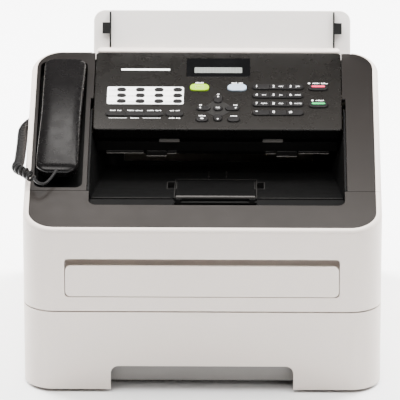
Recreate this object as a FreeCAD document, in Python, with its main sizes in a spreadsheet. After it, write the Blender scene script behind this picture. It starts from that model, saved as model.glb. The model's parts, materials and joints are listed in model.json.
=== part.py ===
"""Desk laser fax machine with a handset at its left, an upright document tray and a paper cassette.

Millimetres. X runs to the right, -Y is the front and Z is up. The origin lies on the table under
the middle of the casing. Most of what shows on top lies in one plane, the deck, which rises to the
rear: deck coordinates are across (X), along (from the front face up the slope) and proud (normal).
"""
import FreeCAD, Part
import math
import os
import Sketcher
from FreeCAD import Placement, Rotation, Vector

DOC = FreeCAD.newDocument("fax_machine")
SHEET = DOC.addObject("Spreadsheet::Sheet", "Dim")
SUB_PARTS = []

DIMENSIONS = {
    "width": 368,            # casing, left to right
    "depth": 360,            # casing, front to rear
    "corner": 33,            # upright corners of the casing
    "wall": 2.5,             # shells
    "slope": 17,             # degrees, deck to table
    "deck_front": 177.5,     # height of the deck plane at the front face
    "deck_length": 316,      # along the slope
    "deck_round": 4.5,       # rounding of the casing's top edge
    "rear_top": 212,         # height of the low part behind the deck
    "ground_gap": 3,         # casing to table
    "rim": 5.8,              # pale frame left round the dark deck
    "window_rear": 310.5,    # rear end of the dark deck
    "window_corner": 27,
    "deck_sink": 0.4,        # dark deck below the rim
    "skin": 2.2,             # thin liners
    "seam": 0.6,             # gap between covers
    "cassette_top": 88.2,
    "cover_bottom": 89.6,
    "cover_split": 68,       # along: where the front cover ends on the deck
    "basin_middle": 14.5,    # across, of the basin and the control panel
    "basin_width": 263.5,
    "basin_front": 44,
    "basin_lip": 9,          # how deep the basin starts
    "basin_draft": 10.7,     # degrees
    "basin_rear": 226,
    "basin_bottom": 105,     # depth of the drafted well
    "basin_fall": 7.6,       # degrees, floor falling to the rear
    "panel_middle": 14.2,
    "panel_width": 260.8,
    "panel_front": 174,
    "panel_length": 137,
    "panel_thick": 12,
    "key_proud": 1.4,
    "key_stem": 8,
    "key_gap": 0.4,
    "door_width": 280,
    "door_bottom": 105.6,
    "door_top": 139,
    "finger_top": 146.6,     # top of the finger gap over the feed door
    "door_corner": 5.5,
    "notch_width": 188,
    "notch_top": 28.8,
    "notch_corner": 8,
    "front_depth": 32.6,     # cassette front, front to rear
    "cradle_wide": 50,
    "cradle_middle": -149.5,
    "cradle_front": 73,
    "cradle_long": 221,
    "cradle_deep": 14,
    "handset_long": 198,
    "handset_wide": 44,
    "handset_along": 192,    # middle of the handset on the slope
    "handset_split": 3,      # proud, between its two shells
    "handset_top": 12.5,
    "handset_deep": 11,
    "handset_yaw": -1.1,     # degrees
    "tray_middle": 18,
    "tray_width": 275,
    "tray_slope": 63,        # degrees
    "tray_long": 69.2,
    "tray_foot_y": 118,
    "tray_foot_z": 244,
    "guide_gap": 239,
    "cord_wire": 3.8,
    "cord_coil": 11.6,
}

for row, (alias, size) in enumerate(DIMENSIONS.items(), start=1):
    SHEET.set(f"A{row}", alias)
    SHEET.set(f"B{row}", str(size))
    SHEET.setAlias(f"B{row}", alias)
DOC.recompute()

BIG = 400
SLOPE_COS = "cos(Dim.slope * 1 deg)"
SLOPE_SIN = "sin(Dim.slope * 1 deg)"
SPLIT_Y = f"(-Dim.depth / 2 + Dim.cover_split * {SLOPE_COS})"
DECK_NORMAL_TURN = Vector(1, 0, 0)


def number(expression):
    """The value of an expression of the sheet."""
    found = SHEET.evalExpression(str(expression))
    return float(getattr(found, "Value", found))


def bind(item, path, expression):
    item.setExpression(path, str(expression))


def place(item, x, y, z):
    """Put an object at a point of the machine's frame."""
    bind(item, "Placement.Base.x", x)
    bind(item, "Placement.Base.y", y)
    bind(item, "Placement.Base.z", z)
    return item


def turn(item, axis, angle):
    """Turn an object about an axis through its own origin."""
    item.Placement = Placement(item.Placement.Base, Rotation(axis, number(angle)))
    bind(item, "Placement.Rotation.Angle", angle)
    return item


def on_deck(item, across, along, proud):
    """Lay an object on the sloping deck."""
    turn(item, DECK_NORMAL_TURN, "Dim.slope")
    deck_y = f"-Dim.depth / 2 + ({along}) * {SLOPE_COS} - ({proud}) * {SLOPE_SIN}"
    deck_z = f"Dim.deck_front + ({along}) * {SLOPE_SIN} + ({proud}) * {SLOPE_COS}"
    return place(item, across, deck_y, deck_z)


def box(label, length, breadth, height):
    item = DOC.addObject("Part::Box", label)
    bind(item, "Length", length)
    bind(item, "Width", breadth)
    bind(item, "Height", height)
    return item


def block(label, x, y, z):
    """A box from its limits along X, Y and Z."""
    item = box(label, f"({x[1]}) - ({x[0]})", f"({y[1]}) - ({y[0]})", f"({z[1]}) - ({z[0]})")
    return place(item, x[0], y[0], z[0])


def deck_block(label, across, along, proud):
    """A box from its limits across, along and proud of the deck."""
    item = box(
        label,
        f"({across[1]}) - ({across[0]})",
        f"({along[1]}) - ({along[0]})",
        f"({proud[1]}) - ({proud[0]})",
    )
    return on_deck(item, across[0], along[0], proud[0])


def rod(label, radius, x, y, z):
    """A round bar along X from its limits along X."""
    item = DOC.addObject("Part::Cylinder", label)
    bind(item, "Radius", radius)
    bind(item, "Height", f"({x[1]}) - ({x[0]})")
    turn(item, Vector(0, 1, 0), 90)
    return place(item, x[0], y, z)


def rounded_rectangle(sketch, length, breadth, radius):
    """A rectangle with four equal round corners, centred on the sketch's origin."""
    half_x = number(length) / 2
    half_y = number(breadth) / 2
    round_off = number(radius)
    middles = [
        Vector(half_x - round_off, -half_y + round_off),
        Vector(half_x - round_off, half_y - round_off),
        Vector(-half_x + round_off, half_y - round_off),
        Vector(-half_x + round_off, -half_y + round_off),
    ]
    quarter = math.pi / 2
    for index, middle in enumerate(middles):
        first = (index - 1) * quarter
        circle = Part.Circle(middle, Vector(0, 0, 1), round_off)
        sketch.addGeometry(Part.ArcOfCircle(circle, first, first + quarter))
    for index in range(4):
        here = sketch.Geometry[index]
        after = sketch.Geometry[(index + 1) % 4]
        sketch.addGeometry(Part.LineSegment(here.EndPoint, after.StartPoint))
    for index in range(4):
        line = 4 + index
        sketch.addConstraint(Sketcher.Constraint("Tangent", index, 2, line, 1))
        sketch.addConstraint(Sketcher.Constraint("Tangent", line, 2, (index + 1) % 4, 1))
    for index in (1, 2, 3):
        sketch.addConstraint(Sketcher.Constraint("Equal", 0, index))
    sketch.addConstraint(Sketcher.Constraint("Vertical", 4))
    sketch.addConstraint(Sketcher.Constraint("Horizontal", 5))
    drive(sketch, "corner", Sketcher.Constraint("Radius", 0, round_off), radius)
    half_length = f"({length}) / 2"
    half_breadth = f"({breadth}) / 2"
    drive(sketch, "right", Sketcher.Constraint("DistanceX", -1, 1, 4, 1, half_x), half_length)
    drive(sketch, "left", Sketcher.Constraint("DistanceX", 6, 1, -1, 1, half_x), half_length)
    drive(sketch, "rear", Sketcher.Constraint("DistanceY", -1, 1, 5, 1, half_y), half_breadth)
    drive(sketch, "front", Sketcher.Constraint("DistanceY", 7, 1, -1, 1, half_y), half_breadth)


def drive(sketch, name, constraint, expression):
    """Add a constraint whose value follows the sheet."""
    index = sketch.addConstraint(constraint)
    sketch.renameConstraint(index, name)
    bind(sketch, f"Constraints.{name}", expression)


def plate(label, length, breadth, thick, radius, taper=0, crown=0):
    """A body padded up from a rounded rectangle, with an optional draft and rounded top edge."""
    body = DOC.addObject("PartDesign::Body", label)
    sketch = body.newObject("Sketcher::SketchObject", label + "_outline")
    planes = [item for item in body.Origin.OriginFeatures if item.Role == "XY_Plane"]
    sketch.AttachmentSupport = [(planes[0], "")]
    sketch.MapMode = "FlatFace"
    rounded_rectangle(sketch, length, breadth, radius)
    pad = body.newObject("PartDesign::Pad", label + "_pad")
    pad.Profile = sketch
    bind(pad, "Length", thick)
    if taper:
        bind(pad, "TaperAngle", taper)
    if crown:
        DOC.recompute()
        level = number(thick)
        edges = [
            f"Edge{index}"
            for index, edge in enumerate(pad.Shape.Edges, start=1)
            if edge.BoundBox.ZMin > level - 0.01
        ]
        fillet = body.newObject("PartDesign::Fillet", label + "_crown")
        fillet.Base = (pad, edges)
        bind(fillet, "Radius", crown)
    return body


def fuse(label, *items):
    joined = DOC.addObject("Part::MultiFuse", label)
    joined.Shapes = list(items)
    return joined


def cut(label, base, *tools):
    """A base less one or more tools."""
    result = DOC.addObject("Part::Cut", label)
    result.Base = base
    result.Tool = tools[0] if len(tools) == 1 else fuse(label + "_tools", *tools)
    return result


def common(label, *items):
    result = DOC.addObject("Part::MultiCommon", label)
    result.Shapes = list(items)
    return result


def sub_part(item, name):
    """Name an object as one of the machine's pieces."""
    item.Label = name
    SUB_PARTS.append(item)
    return item


# Casing -------------------------------------------------------------------------------------------

def casing_block(label, inset):
    """The casing's outer form, or the hollow that lies an inset within it."""
    upper_depth = f"Dim.deck_length * {SLOPE_COS}"
    floor = "Dim.ground_gap"
    lower = plate(
        label + "_lower",
        f"Dim.width - 2 * {inset}",
        f"Dim.depth - 2 * {inset}",
        f"Dim.rear_top - {floor} - {inset}",
        f"Dim.corner - {inset}",
    )
    place(lower, 0, 0, floor)
    upper = plate(
        label + "_upper",
        f"Dim.width - 2 * {inset}",
        f"{upper_depth} - 2 * {inset}",
        f"Dim.deck_front + Dim.deck_length * {SLOPE_SIN} + 20",
        f"Dim.corner - {inset}",
    )
    place(upper, 0, f"-Dim.depth / 2 + {upper_depth} / 2", floor)
    above = deck_block(label + "_sky", (-BIG, BIG), (-BIG, 2 * BIG), (f"-{inset}", BIG))
    return cut(label, fuse(label + "_mass", lower, upper), above)


def round_deck_edge(solid):
    """Round the casing's top edge where its walls meet the deck."""
    DOC.recompute()
    normal = Vector(0, -math.sin(math.radians(number("Dim.slope"))), 0)
    normal.z = math.cos(math.radians(number("Dim.slope")))
    origin = Vector(0, -number("Dim.depth") / 2, number("Dim.deck_front"))
    radius = number("Dim.deck_round")
    edges = []
    for index, edge in enumerate(solid.Shape.Edges, start=1):
        middle = edge.valueAt((edge.FirstParameter + edge.LastParameter) / 2)
        ends = [vertex.Point for vertex in edge.Vertexes] + [middle]
        if all(abs((point - origin).dot(normal)) < 0.01 for point in ends):
            edges.append((index, radius, radius))
    rounded = DOC.addObject("Part::Fillet", "casing_rounded")
    rounded.Base = solid
    rounded.Edges = edges
    return rounded


def deck_outline(label, inset, top, bottom):
    """A slab with the outline of the dark deck, as wide as the rim leaves it."""
    length = f"Dim.width - 2 * Dim.rim - 2 * {inset}"
    breadth = f"Dim.window_rear - Dim.rim - 2 * {inset}"
    slab = plate(label, length, breadth, f"({top}) - ({bottom})", f"Dim.window_corner - {inset}")
    return on_deck(slab, 0, "(Dim.window_rear + Dim.rim) / 2", bottom)


def front_zone(label, gap):
    """Everything in front of the split between the front cover and the casing."""
    return block(
        label, (-BIG, BIG), (-BIG, f"{SPLIT_Y} + {gap}"), ("Dim.cover_bottom - Dim.seam", BIG)
    )


casing = round_deck_edge(casing_block("casing", "0"))
hollow = casing_block("hollow", "Dim.wall")
dark_window = deck_outline("dark_window", "0", 30, -20)
cassette_bay = block(
    "cassette_bay",
    (-BIG, BIG),
    (-BIG, "-Dim.depth / 2 + Dim.front_depth + Dim.seam"),
    (-1, "Dim.cover_bottom"),
)
cassette_mouth = block("cassette_mouth", (-162, 162), (-BIG, 0), (-1, "Dim.cassette_top"))
document_gate = block(
    "document_gate",
    ("Dim.tray_middle - Dim.tray_width / 2 - 1", "Dim.tray_middle + Dim.tray_width / 2 + 1"),
    (104, 140),
    (241, BIG),
)
rear_door_hole = block("rear_door_hole", (-120.5, 120.5), (170, 190), (99.5, 200.5))
JACK_ALONG = (190, 268)
JACK_PROUD = (-38.5, -17.2)
jack_hole = deck_block(
    "jack_hole",
    (-190, -172),
    (JACK_ALONG[0] - 0.2, JACK_ALONG[1] + 0.2),
    (JACK_PROUD[0] - 0.2, JACK_PROUD[1] + 0.2),
)

VENT_SLOTS = 10
VENT_PITCH = 9
vent_slots = []
for side, wall_x in (("left", (-190, -178)), ("right", (178, 190))):
    for index in range(VENT_SLOTS):
        start = 20 + index * VENT_PITCH
        vent_slots.append(block(f"vent_{side}_{index}", wall_x, (start, start + 3.2), (112, 144)))
inlet_case = block("inlet_case", (112, 146), (167.5, 179), (30, 60))
inlet_well = block("inlet_well", (115, 143), (170, 181), (33, 57))
line_case = block("line_case", (-146, -122), (167.5, 179), (28, 62))
line_wells = [block("line_well", (-140, -128), (169.5, 181), (z, z + 10)) for z in (32, 48)]
shell = fuse("shell_with_sockets", cut("shell", casing, hollow), inlet_case, line_case)

main_cover = cut(
    "main_cover_cut",
    shell,
    dark_window,
    front_zone("front_zone_casing", "Dim.seam / 2"),
    cassette_bay,
    cassette_mouth,
    document_gate,
    rear_door_hole,
    jack_hole,
    inlet_well,
    *line_wells,
    *vent_slots,
)
sub_part(main_cover, "main_cover")

side_plates = [
    block(f"side_plate_{number_}", (x, x + 2), (-138, 168), (5, 150))
    for number_, x in enumerate((-167, 165))
]
feet = []
for x in (-172, 172):
    for y in (-120, 150):
        foot = DOC.addObject("Part::Cylinder", "foot")
        foot.Radius = 7
        foot.Height = 6
        feet.append(place(foot, x, y, 0))
flanges = [block("flange", (x, x + 14), (-138, 150), (4, 6)) for x in (-179, 165)]
engine_floor = block("engine_floor", (-165, 165), (-98, 168), (92, 94.5))
base_frame = fuse("base_frame_fuse", *side_plates, *feet, *flanges, engine_floor)
sub_part(base_frame, "base_frame")


# Dark deck and output basin ------------------------------------------------------------------------

BASIN_LEFT = "(Dim.basin_middle - Dim.basin_width / 2)"
BASIN_RIGHT = "(Dim.basin_middle + Dim.basin_width / 2)"
FLOOR_START = f"(Dim.deck_front + Dim.cover_split * {SLOPE_SIN} - Dim.basin_lip * {SLOPE_COS})"


def dark_slab(label):
    return deck_outline(label, "0.4", "-Dim.deck_sink", "-Dim.deck_sink - Dim.skin")


def basin_well(label, spread, top):
    """The drafted well of the basin, narrower at its bottom, grown by a wall."""
    lean = "Dim.basin_bottom * tan(Dim.basin_draft * 1 deg)"
    rise = f"({top}) + Dim.basin_bottom"
    well = plate(
        label,
        f"Dim.basin_width - 2 * {lean} + 2 * {spread}",
        f"Dim.basin_rear - Dim.basin_front - 2 * {lean} + 2 * {spread}",
        rise,
        6,
        taper="Dim.basin_draft",
    )
    return on_deck(
        well, "Dim.basin_middle", "(Dim.basin_rear + Dim.basin_front) / 2", "-Dim.basin_bottom"
    )


def above_floor(label, drop):
    """The space above the basin's floor, which starts at the split and falls to the rear."""
    space = box(label, 2 * BIG, 300, 200)
    turn(space, Vector(-1, 0, 0), "Dim.basin_fall")
    return place(space, -BIG, SPLIT_Y, f"{FLOOR_START} - {drop}")


behind_split = block(
    "behind_split", (-BIG, BIG), (f"{SPLIT_Y} - Dim.seam / 2", BIG), (0, BIG)
)
cover_seat = cut("cover_seat", dark_slab("cover_slab"), behind_split)
lip_pan = deck_block(
    "lip_pan",
    (f"{BASIN_LEFT} - Dim.skin", f"{BASIN_RIGHT} + Dim.skin"),
    ("Dim.basin_front - Dim.skin", "Dim.cover_split + 2.3"),
    ("-Dim.basin_lip - Dim.skin", "-Dim.deck_sink - 0.1"),
)
lip_hollow = plate("lip_hollow", "Dim.basin_width", 60, 40, 8)
on_deck(lip_hollow, "Dim.basin_middle", "Dim.basin_front + 30", "-Dim.basin_lip")
FLAP_MIDDLE = 13
FLAP_WIDE = 84
FLAP_LONG = 88
FLAP_HINGE = 62
PIN_PROUD = "(-Dim.basin_lip - 2.2)"
PIN_Y = f"-Dim.depth / 2 + {FLAP_HINGE} * {SLOPE_COS} - {PIN_PROUD} * {SLOPE_SIN}"
PIN_Z = f"Dim.deck_front + {FLAP_HINGE} * {SLOPE_SIN} + {PIN_PROUD} * {SLOPE_COS}"
FLAP_LEFT = FLAP_MIDDLE - FLAP_WIDE / 2
FLAP_RIGHT = FLAP_MIDDLE + FLAP_WIDE / 2
flap_pocket = deck_block(
    "flap_pocket",
    (FLAP_LEFT - 0.7, FLAP_RIGHT + 0.7),
    (FLAP_HINGE - 14, 90),
    ("-Dim.basin_lip - 7.5", 0),
)
pocket_pan = deck_block(
    "pocket_pan",
    (FLAP_LEFT - 5, FLAP_RIGHT + 5),
    (FLAP_HINGE - 16, "Dim.cover_split + 2.3"),
    ("-Dim.basin_lip - 9.5", "-Dim.basin_lip - 1"),
)
pin_sockets = rod("pin_sockets", 1.8, (FLAP_LEFT - 2.1, FLAP_RIGHT + 2.1), PIN_Y, PIN_Z)
cover_deck = cut(
    "cover_deck_cut",
    fuse("cover_deck_mass", cover_seat, lip_pan, pocket_pan),
    lip_hollow,
    flap_pocket,
    behind_split,
    pin_sockets,
)
sub_part(cover_deck, "front_cover_deck")


def on_floor(item, across, back, high):
    """Lay an object on the basin's floor, measured back from the split and up from the floor."""
    fall_cos = "cos(Dim.basin_fall * 1 deg)"
    fall_sin = "sin(Dim.basin_fall * 1 deg)"
    turn(item, Vector(-1, 0, 0), "Dim.basin_fall")
    floor_y = f"{SPLIT_Y} + ({back}) * {fall_cos} + ({high}) * {fall_sin}"
    floor_z = f"{FLOOR_START} - ({back}) * {fall_sin} + ({high}) * {fall_cos}"
    return place(item, across, floor_y, floor_z)


def floor_block(label, across, back, high):
    """A box from its limits across the floor, back along it and up from it."""
    item = box(
        label,
        f"({across[1]}) - ({across[0]})",
        f"({back[1]}) - ({back[0]})",
        f"({high[1]}) - ({high[0]})",
    )
    return on_floor(item, across[0], back[0], high[0])


flap_leaf = plate("flap_leaf", FLAP_WIDE - 1, FLAP_LONG, 2.2, 3, crown=0.6)
on_floor(flap_leaf, FLAP_MIDDLE, FLAP_LONG / 2 + 1, -2.1)
flap_arms = [
    floor_block("flap_arm", (x, x + 6), (-4, 8), (-2.1, -0.2)) for x in (FLAP_LEFT + 1, FLAP_RIGHT - 7)
]
flap_cheeks = [
    floor_block("flap_cheek", (x, x + 6), (-4, -0.9), (-5, -0.2)) for x in (FLAP_LEFT + 1, FLAP_RIGHT - 7)
]
flap_pin = rod("flap_pin", 1.7, (FLAP_LEFT - 2, FLAP_RIGHT + 2), PIN_Y, PIN_Z)
sub_part(fuse("support_flap_fuse", flap_leaf, *flap_arms, *flap_cheeks, flap_pin), "support_flap")

well_wall = common(
    "well_wall", basin_well("well_outside", "Dim.skin", -0.6), above_floor("floor_outside", 2)
)
well_space = common(
    "well_space", basin_well("well_inside", "0", 5), above_floor("floor_inside", 0)
)
flap_bed = floor_block(
    "flap_bed", (FLAP_LEFT - 0.2, FLAP_RIGHT + 0.2), (-30, FLAP_LONG + 2), (-3, 3)
)
finger_beds = [
    floor_block("finger_bed", (x, x + 9), (44, 76), (-6, 3)) for x in (FLAP_LEFT - 8, FLAP_RIGHT - 1)
]
flap_bed_pan = floor_block(
    "flap_bed_pan", (FLAP_LEFT - 2, FLAP_RIGHT + 2), (-10, FLAP_LONG + 4), (-4.6, -1)
)
finger_pans = [
    floor_block("finger_pan", (x, x + 13), (42, 78), (-7.6, -1)) for x in (FLAP_LEFT - 10, FLAP_RIGHT - 3)
]
panel_room = deck_block(
    "panel_room",
    (f"{BASIN_LEFT} - 0.1", f"{BASIN_RIGHT} + 0.1"),
    ("Dim.panel_front - 4", 340),
    (-33, 20),
)
exit_slot = block("exit_slot", (-85, 115), (5, 60), (171, 181))
output_tray = cut(
    "output_tray_cut",
    fuse("output_tray_mass", well_wall, flap_bed_pan, *finger_pans),
    well_space,
    flap_bed,
    *finger_beds,
    panel_room,
    exit_slot,
    front_zone("front_zone_basin", "Dim.seam / 2"),
)
sub_part(output_tray, "output_tray")

PANEL_EDGES = (
    "Dim.panel_middle - Dim.panel_width / 2 - 0.8",
    "Dim.panel_middle + Dim.panel_width / 2 + 0.8",
)
BEHIND_BASIN = "(-Dim.depth / 2 + (Dim.basin_rear + Dim.skin + 1) * cos(Dim.slope * 1 deg))"
right_zone = fuse(
    "right_zone",
    block("right_beside", (f"{BASIN_RIGHT} + Dim.skin + 0.4", BIG), (f"{SPLIT_Y} + 0.3", BIG), (0, BIG)),
    block("right_behind", (PANEL_EDGES[1], BIG), (BEHIND_BASIN, BIG), (0, BIG)),
)
right_panel = common("right_panel_common", dark_slab("right_slab"), right_zone)
sub_part(right_panel, "right_deck_panel")

left_zone = fuse(
    "left_zone",
    block("left_beside", (-BIG, f"{BASIN_LEFT} - Dim.skin - 0.4"), (f"{SPLIT_Y} + 0.3", BIG), (0, BIG)),
    block("left_behind", (-BIG, PANEL_EDGES[0]), (BEHIND_BASIN, BIG), (0, BIG)),
)
cradle_slab = common("cradle_slab_common", dark_slab("cradle_slab"), left_zone)
cradle_tub = plate(
    "cradle_tub",
    "Dim.cradle_wide + 2 * Dim.skin",
    "Dim.cradle_long + 2 * Dim.skin",
    "Dim.cradle_deep + Dim.skin - Dim.deck_sink - 0.1",
    10,
)
on_deck(
    cradle_tub,
    "Dim.cradle_middle",
    "Dim.cradle_front + Dim.cradle_long / 2",
    "-Dim.cradle_deep - Dim.skin",
)
cradle_recess = plate("cradle_recess", "Dim.cradle_wide", "Dim.cradle_long", 40, 8)
on_deck(
    cradle_recess, "Dim.cradle_middle", "Dim.cradle_front + Dim.cradle_long / 2", "-Dim.cradle_deep"
)
HOOK_ALONG = 262
hook_hole = deck_block(
    "hook_hole",
    ("Dim.cradle_middle - 4.5", "Dim.cradle_middle + 4.5"),
    (HOOK_ALONG - 7.5, HOOK_ALONG + 7.5),
    (-30, 0),
)
cradle = cut("cradle_cut", fuse("cradle_mass", cradle_slab, cradle_tub), cradle_recess, hook_hole)
sub_part(cradle, "handset_cradle")

hook_cap = plate("hook_cap", 8, 14, 9, 2.5, crown=1.5)
on_deck(hook_cap, "Dim.cradle_middle", HOOK_ALONG, "-Dim.cradle_deep - 4")
sub_part(hook_cap, "hook_switch")


# Front cover ---------------------------------------------------------------------------------------

HINGE_GAP = 0.8


def front_plate(label, length, height, thick, radius):
    """An upright rounded plate in the XZ plane that runs back from its front face."""
    item = plate(label, length, height, thick, radius)
    return turn(item, Vector(1, 0, 0), 90)


cover_zone = block(
    "cover_zone", (-BIG, BIG), (-BIG, f"{SPLIT_Y} - Dim.seam / 2"), ("Dim.cover_bottom", BIG)
)
finger_hole = front_plate(
    "finger_hole",
    f"Dim.door_width + 2 * {HINGE_GAP}",
    f"Dim.finger_top - Dim.door_bottom + {HINGE_GAP}",
    30,
    "Dim.door_corner - 1.5",
)
place(finger_hole, 0, "-Dim.depth / 2 + 12", f"(Dim.finger_top + Dim.door_bottom - {HINGE_GAP}) / 2")
door_pan = front_plate(
    "door_pan", "Dim.door_width + 6", "Dim.finger_top - Dim.door_bottom + 6", 12, "Dim.door_corner"
)
place(door_pan, 0, "-Dim.depth / 2 + 14", "(Dim.finger_top + Dim.door_bottom) / 2")
front_shell = common("front_shell", casing, cover_zone)
front_hull = cut("front_hull", front_shell, hollow, dark_window)
front_cover = cut("front_cover_cut", fuse("front_cover_mass", front_hull, door_pan), finger_hole)
sub_part(front_cover, "front_cover")

door_leaf = front_plate(
    "door_leaf", "Dim.door_width", "Dim.door_top - Dim.door_bottom", 3, "Dim.door_corner"
)
place(door_leaf, 0, "-Dim.depth / 2 + 3", "(Dim.door_top + Dim.door_bottom) / 2")
door_lug = block(
    "door_lug", (-130, 130), ("-Dim.depth / 2 + 3", "-Dim.depth / 2 + 4.6"), ("Dim.door_bottom + 1.5", 134)
)
sub_part(fuse("feed_door_fuse", door_leaf, door_lug), "manual_feed_door")


# Paper cassette ------------------------------------------------------------------------------------

cassette_zone = block(
    "cassette_zone", (-BIG, BIG), (-BIG, "-Dim.depth / 2 + Dim.front_depth"), (0, "Dim.cassette_top")
)
cassette_skin = cut("cassette_skin", common("cassette_shell", casing, cassette_zone), hollow)
cassette_ledge = common(
    "cassette_ledge",
    casing,
    block("ledge_zone", (-BIG, BIG), (-BIG, "-Dim.depth / 2 + 12"), (83, "Dim.cassette_top")),
)
notch = front_plate("notch", "Dim.notch_width", "Dim.notch_top + 20", 30, "Dim.notch_corner")
place(notch, 0, "-Dim.depth / 2 + 14", "(Dim.notch_top - 20) / 2")
front_panel = cut("front_panel_cut", fuse("front_panel_mass", cassette_skin, cassette_ledge), notch)
sub_part(front_panel, "tray_front_cover")

bin_outside = block("bin_outside", (-158, 158), (-163, 165), (6.5, 78))
bin_inside = block("bin_inside", (-155.5, 155.5), (-147, 162.5), (9, 90))
bin_pocket = block("bin_pocket", (-150, 150), (-160.5, -149.5), (30, 90))
bin_arms = [block("bin_arm", (x, x + 3), (-177.4, -162), (34, 74)) for x in (-125, 122)]
sub_part(
    cut("paper_tray_cut", fuse("paper_tray_mass", bin_outside, *bin_arms), bin_inside, bin_pocket),
    "paper_tray",
)
PLATE_HINGE_Y = 30
lift_leaf = plate("lift_leaf", 216, 172, 1.6, 4)
place(lift_leaf, 0, PLATE_HINGE_Y - 84, 11)
sub_part(lift_leaf, "pressure_plate")


# Control panel and its keys ------------------------------------------------------------------------

NAV_X = 14.5
NAV_ALONG = 210
KEY_SIZES = {
    "fax_key": (-5.3, 247, 20, 11.6),
    "copy_key": (34.5, 247, 20, 11.6),
    "up_key": (NAV_X, NAV_ALONG + 16.4, 8.2, 13.6),
    "down_key": (NAV_X, NAV_ALONG - 16.4, 8.2, 12.4),
    "left_key": (NAV_X - 15.2, NAV_ALONG, 14.2, 7.6),
    "right_key": (NAV_X + 15.2, NAV_ALONG, 14.2, 7.6),
    "ok_key": (NAV_X, NAV_ALONG, 9, 9),
    "clear_key": (NAV_X - 16.6, 190.5, 12.4, 8),
    "menu_key": (NAV_X + 16.6, 190.5, 12.4, 8),
    "stop_key": (120.3, 247, 20, 9.4),
    "start_key": (120.3, 216.6, 20, 9.4),
}
DIAL_X = 77.7
DIAL_TOP = 248
DIAL_PITCH = (17.9, 15.2)
DIAL_KEY = (17.5, 8.4)
DIAL_ROW_LONG = 53.4
ONE_TOUCH_X = -57.8
ONE_TOUCH_ALONG = 232.8
ONE_TOUCH_PITCH = (19.8, 10.25)
ONE_TOUCH_KEY = (8.8, 5.8)
FUNCTION_ALONG = 199.7
FUNCTION_KEY = (19.6, 7)
FUNCTION_ROW_X = -73
FUNCTION_ROW_LONG = 60
FUNCTION_LAST = (-31.1, 18.8)
KEY_HIGH = "Dim.key_proud + Dim.key_stem"


def key_cap(label, across, along, length, breadth):
    """A key with rounded ends whose top stands proud of the panel."""
    ends = 0.46 * min(length, breadth)
    cap = plate(label, length, breadth, KEY_HIGH, ends, crown=0.7)
    return on_deck(cap, across, along, "-Dim.key_stem")


def key_hole(across, along, length, breadth):
    """The opening in the panel round a key or a row of keys."""
    wide = f"{length} + 2 * Dim.key_gap"
    tall = f"{breadth} + 2 * Dim.key_gap"
    hole = plate("key_hole", wide, tall, 30, 0.46 * min(length, breadth))
    return on_deck(hole, across, along, -20)


def row_key(label, row, across, along, length):
    """One key of a row: the part of the row's rounded bar between two upright cuts."""
    bar = key_cap(label + "_bar", row[0], along, row[1], row[2])
    share = deck_block(
        label + "_share", (across - length / 2, across + length / 2), (along - 9, along + 9), (-20, 9)
    )
    return common(label + "_common", bar, share)


key_holes = []
for name, (across, along, length, breadth) in KEY_SIZES.items():
    sub_part(key_cap(name + "_cap", across, along, length, breadth), name)
    key_holes.append(key_hole(across, along, length, breadth))

dial_names = ["1", "2", "3", "4", "5", "6", "7", "8", "9", "star", "0", "pound"]
for index, name in enumerate(dial_names):
    row, column = divmod(index, 3)
    across = DIAL_X + (column - 1) * DIAL_PITCH[0]
    along = DIAL_TOP - row * DIAL_PITCH[1]
    bar = (DIAL_X, DIAL_ROW_LONG, DIAL_KEY[1])
    sub_part(row_key(f"dial_{name}", bar, across, along, DIAL_KEY[0]), f"dial_key_{name}")
for row in range(4):
    key_holes.append(key_hole(DIAL_X, DIAL_TOP - row * DIAL_PITCH[1], DIAL_ROW_LONG, DIAL_KEY[1]))

one_touch = []
for row in (-1, 0, 1):
    for column in (-1.5, -0.5, 0.5, 1.5):
        spot = (ONE_TOUCH_X + column * ONE_TOUCH_PITCH[0], ONE_TOUCH_ALONG + row * ONE_TOUCH_PITCH[1])
        one_touch.append(key_cap("one_touch_cap", *spot, *ONE_TOUCH_KEY))
        key_holes.append(key_hole(*spot, *ONE_TOUCH_KEY))
sub_part(fuse("one_touch_fuse", *one_touch), "one_touch_keys")

functions = []
for column in (-1, 0, 1):
    across = FUNCTION_ROW_X + column * (FUNCTION_KEY[0] + 0.4)
    bar = (FUNCTION_ROW_X, FUNCTION_ROW_LONG, FUNCTION_KEY[1])
    functions.append(row_key("function", bar, across, FUNCTION_ALONG, FUNCTION_KEY[0]))
functions.append(
    key_cap("function_last", FUNCTION_LAST[0], FUNCTION_ALONG, FUNCTION_LAST[1], FUNCTION_KEY[1])
)
key_holes.append(key_hole(FUNCTION_ROW_X, FUNCTION_ALONG, FUNCTION_ROW_LONG, FUNCTION_KEY[1]))
key_holes.append(key_hole(FUNCTION_LAST[0], FUNCTION_ALONG, FUNCTION_LAST[1], FUNCTION_KEY[1]))
sub_part(fuse("function_fuse", *functions), "function_keys")

PANEL_MIDDLE_ALONG = "Dim.panel_front + Dim.panel_length / 2"
panel_mass = plate(
    "panel_mass", "Dim.panel_width", "Dim.panel_length", "Dim.panel_thick", 4, crown=1.2
)
on_deck(panel_mass, "Dim.panel_middle", PANEL_MIDDLE_ALONG, "-Dim.panel_thick")
panel_hollow = plate(
    "panel_hollow",
    "Dim.panel_width - 2 * Dim.wall",
    "Dim.panel_length - 2 * Dim.wall",
    "Dim.panel_thick",
    2,
)
on_deck(panel_hollow, "Dim.panel_middle", PANEL_MIDDLE_ALONG, "-Dim.panel_thick - Dim.wall")
SCREEN_X = 14.4
SCREEN_ALONG = 283.6
SCREEN_SIZE = (67.4, 33)
screen_seat = plate("screen_seat", SCREEN_SIZE[0] + 0.6, SCREEN_SIZE[1] + 0.6, 20, 2.3)
on_deck(screen_seat, SCREEN_X, SCREEN_ALONG, -2)
screen_view = plate("screen_view", 56, 18, 20, 1)
on_deck(screen_view, SCREEN_X, SCREEN_ALONG - 3, -10)
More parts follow.
